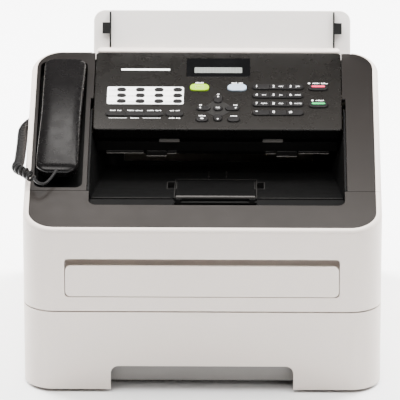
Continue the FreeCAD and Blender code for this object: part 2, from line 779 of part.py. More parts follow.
panel = cut("panel_cut", panel_mass, panel_hollow, screen_seat, screen_view, *key_holes)
sub_part(panel, "control_panel")

screen = plate("screen_plate", *SCREEN_SIZE, 1.8, 2, crown=0.3)
on_deck(screen, SCREEN_X, SCREEN_ALONG, -1.9)
sub_part(screen, "lcd_window")

panel_base = plate(
    "panel_base_plate",
    "Dim.panel_width - 2 * Dim.wall - 1",
    "Dim.panel_length - 2 * Dim.wall - 1",
    2,
    1.6,
)
on_deck(panel_base, "Dim.panel_middle", PANEL_MIDDLE_ALONG, "-Dim.panel_thick + 0.2")
sub_part(panel_base, "panel_base")

trim = plate("trim_bar", "Dim.panel_width - 2", 8, 7, 3.6, crown=1.8)
on_deck(trim, "Dim.panel_middle", "Dim.panel_front + Dim.panel_length + 4.2", -6)
sub_part(trim, "panel_trim")


# Document path -------------------------------------------------------------------------------------

ROLLER_ALONG = 252
ROLLER_PROUD = -24.5
roller_slot = deck_block(
    "roller_slot", (-72, 98), (ROLLER_ALONG - 8, ROLLER_ALONG + 8), (-40, 0)
)
frame_mass = deck_block("scan_mass", (-112, 140), ("Dim.panel_front + 3", 299), (-31, -19))
frame_relief = deck_block("scan_relief", (-106, 134), (196, 236), (-33, -28))
ROLLER_Y = f"-Dim.depth / 2 + {ROLLER_ALONG} * {SLOPE_COS} - ({ROLLER_PROUD}) * {SLOPE_SIN}"
ROLLER_Z = f"Dim.deck_front + {ROLLER_ALONG} * {SLOPE_SIN} + ({ROLLER_PROUD}) * {SLOPE_COS}"
axle_bore = rod("axle_bore", 2.1, (-76, 102), ROLLER_Y, ROLLER_Z)
sub_part(
    cut("scanner_frame_cut", frame_mass, frame_relief, roller_slot, axle_bore), "scanner_frame"
)
feed_roller = fuse(
    "feed_roller_fuse",
    rod("roller_core", 2, (-75, 101), ROLLER_Y, ROLLER_Z),
    *[rod("roller_tyre", 5.8, (x, x + 26), ROLLER_Y, ROLLER_Z) for x in (-60, -13, 60)],
)
sub_part(feed_roller, "document_feed_roller")


def on_tray(item, across, up, proud):
    """Lay an object on the steep document tray, which starts at its foot."""
    steep_cos = "cos(Dim.tray_slope * 1 deg)"
    steep_sin = "sin(Dim.tray_slope * 1 deg)"
    turn(item, Vector(1, 0, 0), "Dim.tray_slope")
    tray_y = f"Dim.tray_foot_y + ({up}) * {steep_cos} - ({proud}) * {steep_sin}"
    tray_z = f"Dim.tray_foot_z + ({up}) * {steep_sin} + ({proud}) * {steep_cos}"
    return place(item, across, tray_y, tray_z)


def tray_block(label, across, up, proud):
    item = box(
        label,
        f"({across[1]}) - ({across[0]})",
        f"({up[1]}) - ({up[0]})",
        f"({proud[1]}) - ({proud[0]})",
    )
    return on_tray(item, across[0], up[0], proud[0])


tray_leaf = plate("tray_leaf", "Dim.tray_width", "Dim.tray_long + 24", 4, 12, crown=1.2)
on_tray(tray_leaf, "Dim.tray_middle", "(Dim.tray_long - 24) / 2", -4)
tray_foot_cut = tray_block("tray_foot_cut", (-BIG, BIG), (-60, 0), (-20, 20))
guide_slots = [
    tray_block(f"guide_slot_{side}", limits, (21, 27), (-20, 20))
    for side, limits in (
        ("left", ("Dim.tray_middle - Dim.guide_gap / 2 - 4", "Dim.tray_middle - 60")),
        ("right", ("Dim.tray_middle + 60", "Dim.tray_middle + Dim.guide_gap / 2 + 4")),
    )
]
sub_part(
    cut("document_tray_cut", tray_leaf, tray_foot_cut, *guide_slots), "document_tray"
)


def document_guide(side, sign):
    """A thin fence up the tray with a square finger tab and a shoe through the slot at its foot."""
    fence_x = f"Dim.tray_middle + ({sign}) * Dim.guide_gap / 2"
    inner = f"{fence_x} - 0.9"
    outer = f"{fence_x} + 0.9"
    fence = tray_block(f"fence_{side}", (inner, outer), (34, "Dim.tray_long - 3"), (0.4, 7))
    foot = tray_block(f"fence_foot_{side}", (inner, outer), (22, 35), (0.4, 1.6))
    tab_limits = (f"{fence_x} - 8.5", outer) if sign < 0 else (inner, f"{fence_x} + 8.5")
    tab = tray_block(f"tab_{side}", tab_limits, (42.5, 54.5), (5, 7))
    shoe = tray_block(f"shoe_{side}", (f"{fence_x} - 3", f"{fence_x} + 3"), (22, 26), (-7, 1))
    return fuse(f"guide_{side}", fence, foot, tab, shoe)


sub_part(document_guide("left", -1), "document_guide_left")
sub_part(document_guide("right", 1), "document_guide_right")


# Rear cover and what works inside ------------------------------------------------------------------

rear_leaf = plate("rear_leaf", 240, 100, 2.5, 4, crown=0.6)
turn(rear_leaf, Vector(-1, 0, 0), 90)
place(rear_leaf, 0, "Dim.depth / 2 - 2.5", 150)
sub_part(rear_leaf, "rear_cover")

sub_part(block("laser_block", (-120, 120), (-62, 44), (137, 152)), "laser_unit")

toner_hull = block("toner_hull", (-128, 128), (-88, 2), (98, 132))
toner_grip = block("toner_grip", (-30, 30), (-100, -70), (112, 124))
toner_shoulder = block("toner_shoulder", (-140, 140), (-20, 2), (98, 118))
sub_part(
    fuse("toner_fuse", cut("toner_notched", toner_hull, toner_grip), toner_shoulder),
    "toner_cartridge",
)


def roller(label, x, y, z, radius, core):
    """A roller along X with a thinner shaft through the side plates."""
    return fuse(
        label + "_fuse",
        rod(label + "_drum", radius, x, y, z),
        rod(label + "_shaft", core, (-171, 171), y, z),
    )


ROLLERS = {
    "photoconductor_drum": ((-122, 122), 20, 114, 12, 3),
    "fuser_roller": ((-118, 118), 96, 122, 13, 3),
    "pickup_roller": ((-24, 24), -118, 104, 13, 3),
}
shaft_bores = []
for name, (reach, y, z, radius, core) in ROLLERS.items():
    sub_part(roller(name, reach, y, z, radius, core), name)
    shaft_bores.append(rod(name + "_bore", core + 0.08, (-180, 180), y, z))
SUB_PARTS.remove(base_frame)
sub_part(cut("base_frame_bored", base_frame, *shaft_bores), "base_frame")
base_frame.Label = "base_frame_blank"
SUB_PARTS[-1].Label = "base_frame"

sub_part(block("board_blank", (-176.5, -174.9), (-70, 130), (100, 190)), "main_board")


# Handset, its socket and its cord ------------------------------------------------------------------

def on_cradle(item, along, proud):
    """Lay a piece of the handset in its cradle, turned a little about the deck's normal."""
    slope = Rotation(Vector(1, 0, 0), number("Dim.slope"))
    yaw = Rotation(Vector(0, 0, 1), number("Dim.handset_yaw"))
    slope_cos = math.cos(math.radians(number("Dim.slope")))
    slope_sin = math.sin(math.radians(number("Dim.slope")))
    distance = number(along)
    height = number(proud)
    across = number("Dim.cradle_middle")
    across -= (distance - number("Dim.handset_along")) * math.sin(
        math.radians(number("Dim.handset_yaw"))
    )
    item.Placement = Placement(
        Vector(
            across,
            -number("Dim.depth") / 2 + distance * slope_cos - height * slope_sin,
            number("Dim.deck_front") + distance * slope_sin + height * slope_cos,
        ),
        slope.multiply(yaw),
    )
    return item


handset_back = plate(
    "handset_back_plate",
    "Dim.handset_wide",
    "Dim.handset_long",
    "Dim.handset_top - Dim.handset_split",
    11,
    crown=4.5,
)
on_cradle(handset_back, "Dim.handset_along", "Dim.handset_split")
sub_part(handset_back, "handset_back")

grip = plate("grip", "Dim.handset_wide - 3", "Dim.handset_long - 3", 4.5, 10)
on_cradle(grip, "Dim.handset_along", "Dim.handset_split - 4.6")
CUP_LONG = 52
cups = []
for side in (-1, 1):
    cup = plate("cup", "Dim.handset_wide - 3", CUP_LONG, "Dim.handset_deep", 10, taper=6)
    cup_along = f"Dim.handset_along + {side} * (Dim.handset_long - 6 - {CUP_LONG}) / 2"
    cups.append(on_cradle(cup, cup_along, "Dim.handset_split - 0.1 - Dim.handset_deep"))
cup_trim = plate("cup_trim", "Dim.handset_wide - 3", "Dim.handset_long - 3", 40, 10)
on_cradle(cup_trim, "Dim.handset_along", -30)
front_mass = common("handset_front_common", fuse("handset_front_fuse", grip, *cups), cup_trim)
sub_part(front_mass, "handset_front")

PLUG_X = -177
PLUG_PROUD = (JACK_PROUD[0] + JACK_PROUD[1]) / 2
PLUG_ALONG = (244, 263)
jack_case = deck_block("jack_case", (-183.9, -168), JACK_ALONG, JACK_PROUD)
jack_space = deck_block(
    "jack_space", (-190, -169.8), (JACK_ALONG[0] + 2, 254), (JACK_PROUD[0] + 2, JACK_PROUD[1] - 2)
)


def plug_block(label, half, along):
    proud = (PLUG_PROUD - half, PLUG_PROUD + half)
    return deck_block(label, (PLUG_X - half, PLUG_X + half), along, proud)


plug_socket = plug_block("plug_socket", 4.2, (245, PLUG_ALONG[1] + 1))
sub_part(cut("jack_cut", jack_case, jack_space, plug_socket), "handset_jack")
sub_part(plug_block("plug_block", 4.1, PLUG_ALONG), "handset_plug")


def deck_point(across, along, proud):
    """A point of the machine's frame from deck coordinates."""
    slope = math.radians(number("Dim.slope"))
    return Vector(
        across,
        -number("Dim.depth") / 2 + along * math.cos(slope) - proud * math.sin(slope),
        number("Dim.deck_front") + along * math.sin(slope) + proud * math.cos(slope),
    )


COIL_ROUTE = [
    deck_point(PLUG_X, PLUG_ALONG[0], PLUG_PROUD),
    deck_point(PLUG_X, PLUG_ALONG[0] - 15, PLUG_PROUD),
    Vector(-185, 36, 215.8),
    Vector(-190.6, 21, 214.6),
    Vector(-190.8, 1, 211.8),
    Vector(-190.6, -21, 210),
    Vector(-190.9, -45, 209.2),
    Vector(-190.8, -68, 209.6),
    Vector(-193, -84, 211.4),
    Vector(-191, -96.5, 213.4),
    Vector(-184.6, -104.6, 213.4),
    Vector(-178.4, -110.2, 211.6),
    Vector(-172.8, -115.8, 208.6),
]
LEAD_ROUTE = [
    Vector(-172.8, -115.8, 208.6),
    Vector(-168.4, -120.2, 206.24),
    Vector(-162.4, -118.4, 204.8),
    Vector(-157.4, -109.6, 207),
    Vector(-153.6, -101.4, 209.6),
    Vector(-151.4, -93.9, 211.8),
]


def soft_path(points):
    """Straight runs joined by tangent arcs, each arc as large as its two runs allow."""
    edges = []
    last = points[0]
    for before, corner, after in zip(points, points[1:], points[2:]):
        inward = (before - corner).normalize()
        outward = (after - corner).normalize()
        turn_angle = math.pi - inward.getAngle(outward)
        shorter = min((before - corner).Length, (after - corner).Length)
        reach = 0.45 * shorter
        radius = reach / math.tan(turn_angle / 2)
        print(f"turn {math.degrees(turn_angle):.0f} degrees, radius {radius:.1f} mm")
        arc_start = corner + inward * reach
        arc_end = corner + outward * reach
        bisector = (inward + outward).normalize()
        hub = corner + bisector * math.hypot(reach, radius)
        arc_middle = hub - bisector * radius
        edges.append(Part.LineSegment(last, arc_start).toShape())
        edges.append(Part.Arc(arc_start, arc_middle, arc_end).toShape())
        last = arc_end
    edges.append(Part.LineSegment(last, points[-1]).toShape())
    return Part.Wire(edges)


def tube(name, points, diameter):
    """A plain round tube along a route, checked against its section times its length."""
    path = soft_path(points)
    start = points[0]
    ring = Part.Circle(start, points[1] - start, number(diameter) / 2)
    shape = path.makePipeShell([Part.Wire([ring.toShape()])], True, False, 2)
    expected = math.pi * (number(diameter) / 2) ** 2 * path.Length
    print(f"{name}: length {path.Length:.1f} mm, volume over section x length "
          f"{shape.Volume / expected:.3f}")
    item = DOC.addObject("Part::Feature", name + "_tube")
    item.Shape = shape
    return sub_part(item, name)


tube("handset_coil", COIL_ROUTE, "Dim.cord_coil")
tube("handset_lead", LEAD_ROUTE, "Dim.cord_wire")


# Write the pieces ----------------------------------------------------------------------------------

DOC.recompute()
for item in DOC.Objects:
    if "Invalid" in item.State or "Error" in item.State:
        raise RuntimeError(f"{item.Label} failed: {item.State}")
if len(SUB_PARTS) > 60:
    raise RuntimeError(f"{len(SUB_PARTS)} pieces is more than 60")
os.makedirs("parts", exist_ok=True)
for item in SUB_PARTS:
    shape = item.Shape
    if shape.isNull() or not shape.isValid() or not shape.Solids:
        raise RuntimeError(f"{item.Label} has no valid solid")
for item in SUB_PARTS:
    item.Shape.exportStep(f"parts/{item.Label}.step")
    limits = item.Shape.BoundBox
    print(f"{item.Label}: {len(item.Shape.Solids)} solid(s), {item.Shape.Volume / 1000:.1f} cm3, "
          f"X {limits.XMin:.1f}..{limits.XMax:.1f} Y {limits.YMin:.1f}..{limits.YMax:.1f} "
          f"Z {limits.ZMin:.1f}..{limits.ZMax:.1f}")
print(len(SUB_PARTS), "pieces")
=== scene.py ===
"""Looks of the desk laser fax machine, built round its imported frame. Metres, Z up, -Y in front.

The sloping top is the deck. Deck coordinates are across (X), along (up the slope from the front
face) and proud (normal to it), as in the frame's own design.
"""
import json
import math
import random

import bmesh
import bpy
from mathutils import Matrix, Vector


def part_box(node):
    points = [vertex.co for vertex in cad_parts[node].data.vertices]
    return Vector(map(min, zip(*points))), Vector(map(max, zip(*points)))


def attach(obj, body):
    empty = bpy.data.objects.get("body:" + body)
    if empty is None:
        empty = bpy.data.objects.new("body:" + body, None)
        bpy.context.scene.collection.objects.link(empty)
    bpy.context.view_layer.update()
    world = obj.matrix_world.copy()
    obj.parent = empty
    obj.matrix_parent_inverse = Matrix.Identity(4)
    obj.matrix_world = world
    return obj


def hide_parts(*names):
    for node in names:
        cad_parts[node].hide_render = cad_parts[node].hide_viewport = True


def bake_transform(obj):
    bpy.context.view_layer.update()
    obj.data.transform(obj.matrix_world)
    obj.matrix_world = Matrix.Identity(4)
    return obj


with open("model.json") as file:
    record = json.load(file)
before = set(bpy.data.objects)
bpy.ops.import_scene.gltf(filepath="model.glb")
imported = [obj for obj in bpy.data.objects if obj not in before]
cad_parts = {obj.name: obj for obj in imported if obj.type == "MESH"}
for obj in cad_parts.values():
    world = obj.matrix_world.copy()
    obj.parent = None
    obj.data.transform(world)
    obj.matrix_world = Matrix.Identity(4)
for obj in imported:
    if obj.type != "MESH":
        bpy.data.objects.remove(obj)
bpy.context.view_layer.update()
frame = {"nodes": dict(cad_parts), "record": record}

MM = 0.001
NODES = frame["nodes"]
SLOPE = math.radians(17)
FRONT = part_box("front_cover")[0].y
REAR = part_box("main_cover")[1].y
DECK_FRONT = 177.5 * MM
DECK = Matrix.Translation((0, FRONT, DECK_FRONT)) @ Matrix.Rotation(SLOPE, 4, "X")
DECK_BACK = DECK.inverted()
random.seed(7)


def deck_point(across, along, proud):
    """A point of the frame, in metres, from deck coordinates in millimetres."""
    return DECK @ Vector((across * MM, along * MM, proud * MM))


def deck_centre(node):
    """The middle of a node in deck coordinates, in millimetres."""
    low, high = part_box(node)
    return (DECK_BACK @ ((Vector(low) + Vector(high)) / 2)) / MM


# Camera and handset cord --------------------------------------------------------------------------

CAMERA_TARGET = Vector((-0.0041, 0, 0.1441))
CAMERA_DISTANCE = 5.18
CAMERA_HEIGHT = math.radians(20.5)
CAMERA_SIDE = math.radians(0.65)


def make_camera():
    data = bpy.data.cameras.new("camera")
    data.sensor_width = 36
    data.lens = 442
    data.clip_end = 30
    camera = bpy.data.objects.new("camera", data)
    back = Vector(
        (
            math.sin(CAMERA_SIDE) * math.cos(CAMERA_HEIGHT),
            -math.cos(CAMERA_SIDE) * math.cos(CAMERA_HEIGHT),
            math.sin(CAMERA_HEIGHT),
        )
    )
    camera.location = CAMERA_TARGET + CAMERA_DISTANCE * back
    camera.rotation_euler = back.to_track_quat("Z", "Y").to_euler()
    bpy.context.scene.collection.objects.link(camera)
    bpy.context.scene.camera = camera


make_camera()

PLUG_X, PLUG_ALONG, PLUG_PROUD = -177, 244, -27.85
COIL_ROUTE = [
    deck_point(PLUG_X, PLUG_ALONG, PLUG_PROUD) / MM,
    deck_point(PLUG_X, PLUG_ALONG - 15, PLUG_PROUD) / MM,
    (-185, 36, 215.8),
    (-190.6, 21, 214.6),
    (-190.8, 1, 211.8),
    (-190.6, -21, 210),
    (-190.9, -45, 209.2),
    (-190.8, -68, 209.6),
    (-193, -84, 211.4),
    (-191, -96.5, 213.4),
    (-184.6, -104.6, 213.4),
    (-178.4, -110.2, 211.6),
    (-172.8, -115.8, 208.6),
]
LEAD_ROUTE = [
    (-168.4, -120.2, 206.24),
    (-162.4, -118.4, 204.8),
    (-157.4, -109.6, 207),
    (-153.6, -101.4, 209.6),
    (-151.4, -93.9, 211.8),
]
WIRE = 3.2 * MM
COIL_RADIUS = 4.1 * MM
TIGHT_PITCH, LOOSE_PITCH = 3.9 * MM, 5.8 * MM
ROUTE_STEP = 0.25 * MM
SWELL_STEPS = 40


def spline_points(route):
    """Points along the smooth line that the route controls, in metres."""
    curve = bpy.data.curves.new("route", "CURVE")
    curve.dimensions = "3D"
    spline = curve.splines.new("NURBS")
    spline.points.add(len(route) - 1)
    for point, place in zip(spline.points, route):
        point.co = (*(Vector(place) * MM), 1)
    spline.order_u = 3
    spline.use_endpoint_u = True
    spline.resolution_u = 12
    holder = bpy.data.objects.new("route", curve)
    mesh = bpy.data.meshes.new_from_object(holder)
    points = [vertex.co.copy() for vertex in mesh.vertices]
    bpy.data.objects.remove(holder)
    return points


def even_points(points, step):
    """The same line as points a step apart."""
    found = [points[0].copy()]
    left = step
    for here, after in zip(points, points[1:]):
        span = (after - here).length
        done = 0
        while span - done >= left:
            done += left
            found.append(here.lerp(after, done / span))
            left = step
        left -= span - done
    found.append(points[-1].copy())
    return found


def carried_frames(points):
    """A side and an upward direction at each point, turned no more than the line turns."""
    frames = []
    side = Vector((0, 0, 1))
    for index, point in enumerate(points):
        before = points[max(index - 1, 0)]
        after = points[min(index + 1, len(points) - 1)]
        ahead = (after - before).normalized()
        side = (side - side.dot(ahead) * ahead).normalized()
        frames.append((side, ahead.cross(side)))
    return frames


def tube_mesh(name, points, radius, sides=10):
    """A closed tube round a line of points."""
    frames = carried_frames(points)
    mesh = bpy.data.meshes.new(name)
    vertices = []
    for point, (side, up) in zip(points, frames):
        for corner in range(sides):
            angle = 2 * math.pi * corner / sides
            vertices.append(point + radius * (math.cos(angle) * side + math.sin(angle) * up))
    faces = []
    for ring in range(len(points) - 1):
        for corner in range(sides):
            here = ring * sides + corner
            beside = ring * sides + (corner + 1) % sides
            faces.append((here, beside, beside + sides, here + sides))
    faces.append(tuple(reversed(range(sides))))
    last = (len(points) - 1) * sides
    faces.append(tuple(range(last, last + sides)))
    mesh.from_pydata([tuple(vertex) for vertex in vertices], [], faces)
    for polygon in mesh.polygons:
        polygon.use_smooth = True
    return mesh


def ease(share):
    """0 to 1, level at both ends."""
    share = min(max(share, 0), 1)
    return share * share * (3 - 2 * share)


def curly_points():
    """The wire's line: straight at the plug, a helix along the coil, straight in the lead."""
    route = even_points(spline_points(COIL_ROUTE + LEAD_ROUTE), ROUTE_STEP)
    coil_end = Vector(COIL_ROUTE[-1]) * MM
    nearest = min(range(len(route)), key=lambda index: (route[index] - coil_end).length)
    frames = carried_frames(route)
    phase = 0
    points = []
    for index, point in enumerate(route):
        share = index / nearest
        pitch = TIGHT_PITCH + (LOOSE_PITCH - TIGHT_PITCH) * ease((share - 0.66) / 0.2)
        swell = ease((index - 12) / SWELL_STEPS) * ease((nearest + 10 - index) / SWELL_STEPS)
        phase += 2 * math.pi * ROUTE_STEP / pitch * swell
        side, up = frames[index]
        points.append(point + COIL_RADIUS * swell * (math.cos(phase) * side + math.sin(phase) * up))
    return even_points(points, 1.55 * MM)[:-2] + [points[-1]]


def line_length(points):
    return sum((after - here).length for here, after in zip(points, points[1:]))


cord_line = curly_points()
cord = bpy.data.objects.new("handset_cord", tube_mesh("handset_cord", cord_line, WIRE / 2))
bpy.context.scene.collection.objects.link(cord)
print(f"handset cord {line_length(cord_line):.3f} m of wire")
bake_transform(cord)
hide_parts("handset_coil", "handset_lead")


# Materials ----------------------------------------------------------------------------------------

def linear(red, green, blue):
    """A colour for the shaders from display values of 0 to 255."""
    parts = []
    for value in (red, green, blue):
        share = value / 255
        parts.append(share / 12.92 if share < 0.04045 else ((share + 0.055) / 1.055) ** 2.4)
    return (*parts, 1)


def shade(colour, factor):
    return (*[min(part * factor, 1) for part in colour[:3]], 1)


class Shader:
    """A material under construction, with short calls for the nodes used here."""

    def __init__(self, name):
        self.material = bpy.data.materials.new(name)
        self.material.use_nodes = True
        self.tree = self.material.node_tree
        self.surface = self.tree.nodes["Principled BSDF"]
        self.coordinates = self.node("ShaderNodeTexCoord").outputs["Object"]

    def node(self, kind, **settings):
        made = self.tree.nodes.new(kind)
        for key, value in settings.items():
            setattr(made, key, value)
        return made

    def link(self, source, target):
        self.tree.links.new(source, target)

    def noise(self, scale, detail=3, rough=0.5, source=None):
        made = self.node("ShaderNodeTexNoise")
        made.inputs["Scale"].default_value = scale
        made.inputs["Detail"].default_value = detail
        made.inputs["Roughness"].default_value = rough
        self.link(source or self.coordinates, made.inputs["Vector"])
        return made.outputs["Fac"]

    def stretched(self, factors):
        """Object coordinates scaled by a factor along each axis."""
        made = self.node("ShaderNodeMapping")
        made.inputs["Scale"].default_value = factors
        self.link(self.coordinates, made.inputs["Vector"])
        return made.outputs["Vector"]

    def spread(self, value, low, high, to_low, to_high):
        made = self.node("ShaderNodeMapRange")
        made.inputs["From Min"].default_value = low
        made.inputs["From Max"].default_value = high
        made.inputs["To Min"].default_value = to_low
        made.inputs["To Max"].default_value = to_high
        self.link(value, made.inputs["Value"])
        return made.outputs["Result"]

    def mix(self, factor, first, second):
        """A colour between two; each is a colour or another node's output."""
        made = self.node("ShaderNodeMix", data_type="RGBA")
        self.link(factor, made.inputs["Factor"])
        for slot, colour in ((6, first), (7, second)):
            if isinstance(colour, tuple):
                made.inputs[slot].default_value = colour
            else:
                self.link(colour, made.inputs[slot])
        return made.outputs[2]

    def bump(self, height, distance, strength=1, normal=None):
        made = self.node("ShaderNodeBump")
        made.inputs["Distance"].default_value = distance
        made.inputs["Strength"].default_value = strength
        self.link(height, made.inputs["Height"])
        if normal is not None:
            self.link(normal, made.inputs["Normal"])
        return made.outputs["Normal"]

    def soft_edges(self, radius):
        made = self.node("ShaderNodeBevel", samples=4)
        made.inputs["Radius"].default_value = radius
        return made.outputs["Normal"]

    def set(self, **values):
        """Constant values on the surface's own sockets, words joined by _."""
        for key, value in values.items():
            self.surface.inputs[key.replace("_", " ")].default_value = value


def plastic(name, colour, roughness, grain=1100, depth=0.02, mottle=0.03, edge=0.45, coat=0.0):
    """Moulded plastic: a fine spark-eroded grain, faint cloudiness and softened edges."""
    shader = Shader(name)
    clouds = shader.noise(14, 4, 0.6)
    specks = shader.noise(grain * 0.7, 2, 0.7)
    base = shader.mix(
        shader.spread(clouds, 0.3, 0.7, 0, 1), shade(colour, 1 - mottle), shade(colour, 1 + mottle)
    )
    tinted = shader.mix(shader.spread(specks, 0.35, 0.75, 0, 0.35), base, shade(colour, 0.93))
    shader.link(tinted, shader.surface.inputs["Base Color"])
    sheen = shader.noise(60, 3, 0.55)
    shader.link(
        shader.spread(sheen, 0.3, 0.7, roughness - 0.05, roughness + 0.05),
        shader.surface.inputs["Roughness"],
    )
    normal = shader.bump(
        shader.noise(grain, 3, 0.6), depth * MM, 0.8, shader.soft_edges(edge * MM)
    )
    shader.link(normal, shader.surface.inputs["Normal"])
    if coat:
        shader.set(Coat_Weight=coat, Coat_Roughness=0.12)
    return shader.material


def painted_sheen_and_shade_plastic(name, near, far, roughness, sunk=(-2.4, -1.4)):
    """Dark deck plastic with a painted sheen that makes it paler to the front of the slope; what is sunk
    below the deck gets painted shade, near black.
    """
    shader = Shader(name)
    split = shader.node("ShaderNodeSeparateXYZ")
    shader.link(shader.coordinates, split.inputs["Vector"])
    # Painted sheen: the colour grows paler towards the front of the slope, where the reflection of the
    # sheen light falls.
    along = shader.spread(split.outputs["Y"], -0.18, 0.13, 0, 1)
    clouds = shader.spread(shader.noise(11, 4, 0.6), 0.3, 0.7, 0.94, 1.06)
    base = shader.mix(along, near, far)
    clouded = shader.node("ShaderNodeMix", data_type="RGBA", blend_type="MULTIPLY")
    clouded.inputs["Factor"].default_value = 1
    shader.link(base, clouded.inputs[6])
    shader.link(clouds, clouded.inputs[7])
    # Painted shade: what lies 1.4 to 2.4 mm and more below the deck surface fades to near black, with less
    # specular.
    height = shader.node("ShaderNodeVectorMath", operation="DOT_PRODUCT")
    height.inputs[1].default_value = DECK.to_3x3() @ Vector((0, 0, 1))
    shader.link(shader.coordinates, height.inputs[0])
    surface = (DECK.to_3x3() @ Vector((0, 0, 1))).dot(DECK.translation)
    outside_painted_shade = shader.spread(
        height.outputs["Value"], surface + sunk[0] * MM, surface + sunk[1] * MM, 0, 1
    )
    shader.link(
        shader.mix(outside_painted_shade, linear(7, 7, 7), clouded.outputs[2]),
        shader.surface.inputs["Base Color"],
    )
    shader.link(shader.spread(outside_painted_shade, 0, 1, 0.15, 0.5), shader.surface.inputs["Specular IOR Level"])
    shader.link(
        shader.spread(shader.noise(70, 3), 0.3, 0.7, roughness - 0.03, roughness + 0.03),
        shader.surface.inputs["Roughness"],
    )
    normal = shader.bump(shader.noise(900, 3, 0.6), 0.005 * MM, 0.6, shader.soft_edges(0.15 * MM))
    shader.link(normal, shader.surface.inputs["Normal"])
    return shader.material


def brushed_metal(name, colour):
    """Pressed zinc-plated steel with drawn lines and cloudy spangle."""
    shader = Shader(name)
    lines = shader.noise(40, 4, 0.6, shader.stretched((1, 60, 60)))
    spangle = shader.noise(90, 3, 0.4)
    shader.link(
        shader.mix(shader.spread(spangle, 0.35, 0.65, 0, 1), shade(colour, 0.82), shade(colour, 1.1)),
        shader.surface.inputs["Base Color"],
    )
    shader.link(
        shader.spread(lines, 0.3, 0.7, 0.28, 0.48), shader.surface.inputs["Roughness"]
    )
    shader.link(shader.bump(lines, 0.03 * MM, 0.5), shader.surface.inputs["Normal"])
    shader.set(Metallic=1)
    return shader.material


def rubber(name, colour):
    """Matt rubber with a dusty bloom and a fine pebbled skin."""
    shader = Shader(name)
    dust = shader.spread(shader.noise(45, 5, 0.7), 0.45, 0.75, 0, 0.5)
    shader.link(
        shader.mix(dust, colour, shade(colour, 2.2)), shader.surface.inputs["Base Color"]
    )
    shader.link(
        shader.spread(shader.noise(200, 2), 0.3, 0.7, 0.62, 0.82), shader.surface.inputs["Roughness"]
    )
    shader.link(shader.bump(shader.noise(1500, 2), 0.04 * MM), shader.surface.inputs["Normal"])
    return shader.material


def coated_drum(name):
    """Blue-green photoconductor with a glossy skin and faint turning marks."""
    shader = Shader(name)
    rings = shader.noise(8, 2, 0.5, shader.stretched((120, 1, 1)))
    colour = linear(60, 140, 150)
    shader.link(
        shader.mix(rings, shade(colour, 0.85), shade(colour, 1.1)),
        shader.surface.inputs["Base Color"],
    )
    shader.link(shader.spread(rings, 0.3, 0.7, 0.12, 0.22), shader.surface.inputs["Roughness"])
    shader.set(Coat_Weight=0.6, Coat_Roughness=0.08)
    return shader.material


def circuit_board(name):
    """Green solder mask with copper tracks under it."""
    shader = Shader(name)
    cells = shader.node("ShaderNodeTexVoronoi", feature="DISTANCE_TO_EDGE")
    cells.inputs["Scale"].default_value = 130
    shader.link(shader.coordinates, cells.inputs["Vector"])
    tracks = shader.spread(cells.outputs["Distance"], 0.02, 0.08, 1, 0)
    shader.link(
        shader.mix(tracks, linear(12, 78, 40), linear(40, 120, 66)),
        shader.surface.inputs["Base Color"],
    )
    shader.link(shader.spread(shader.noise(80), 0.3, 0.7, 0.3, 0.42), shader.surface.inputs["Roughness"])
    shader.link(shader.bump(tracks, 0.05 * MM), shader.surface.inputs["Normal"])
    return shader.material


def display_glass(name):
    """Smoked window: near black and glossy, with faint smears."""
    shader = Shader(name)
    smears = shader.noise(35, 5, 0.65)
    shader.link(
        shader.mix(smears, linear(4, 4, 4), linear(8, 8, 9)),
        shader.surface.inputs["Base Color"],
    )
    shader.link(shader.spread(smears, 0.3, 0.7, 0.06, 0.18), shader.surface.inputs["Roughness"])
    shader.set(Coat_Weight=0.2, Coat_Roughness=0.05)
    return shader.material


def display_cells(name):
    """Pale reflective liquid-crystal display with rows of character cells just showing."""
    shader = Shader(name)
    grid = shader.node("ShaderNodeTexBrick", offset=0.0)
    grid.inputs["Scale"].default_value = 1
    grid.inputs["Brick Width"].default_value = 3.05 * MM
    grid.inputs["Row Height"].default_value = 4.3 * MM
    grid.inputs["Mortar Size"].default_value = 0.28 * MM
    grid.inputs["Mortar Smooth"].default_value = 0.4
    tilt = shader.node("ShaderNodeMapping")
    tilt.inputs["Rotation"].default_value = (-SLOPE, 0, 0)
    shader.link(shader.coordinates, tilt.inputs["Vector"])
    shader.link(tilt.outputs["Vector"], grid.inputs["Vector"])
    grid.inputs["Color1"].default_value = linear(96, 98, 95)
    grid.inputs["Color2"].default_value = linear(90, 93, 89)
    grid.inputs["Mortar"].default_value = linear(118, 120, 117)
    pixels = shader.noise(1800, 1, 0.4)
    shader.link(
        shader.mix(shader.spread(pixels, 0.3, 0.7, 0, 0.3), grid.outputs["Color"], linear(84, 87, 83)),
        shader.surface.inputs["Base Color"],
    )
    shader.link(shader.spread(pixels, 0.3, 0.7, 0.25, 0.4), shader.surface.inputs["Roughness"])
    return shader.material


def print_ink(name, colour):
    """Screen-printed ink: slightly raised, slightly uneven in cover."""
    shader = Shader(name)
    cover = shader.noise(700, 3, 0.6)
    shader.link(
        shader.mix(cover, shade(colour, 0.9), shade(colour, 1.05)), shader.surface.inputs["Base Color"]
    )
    shader.link(shader.spread(cover, 0.3, 0.7, 0.4, 0.6), shader.surface.inputs["Roughness"])
    return shader.material


def clear_plastic(name):
    """Clear connector plastic, a little yellowed and scratched."""
    shader = Shader(name)
    scratches = shader.noise(300, 4, 0.7, shader.stretched((1, 6, 1)))
    shader.link(
        shader.mix(scratches, linear(200, 196, 186), linear(228, 226, 220)),
        shader.surface.inputs["Base Color"],
    )
    shader.link(shader.spread(scratches, 0.3, 0.7, 0.08, 0.25), shader.surface.inputs["Roughness"])
    shader.set(Transmission_Weight=0.7, IOR=1.49)
    return shader.material


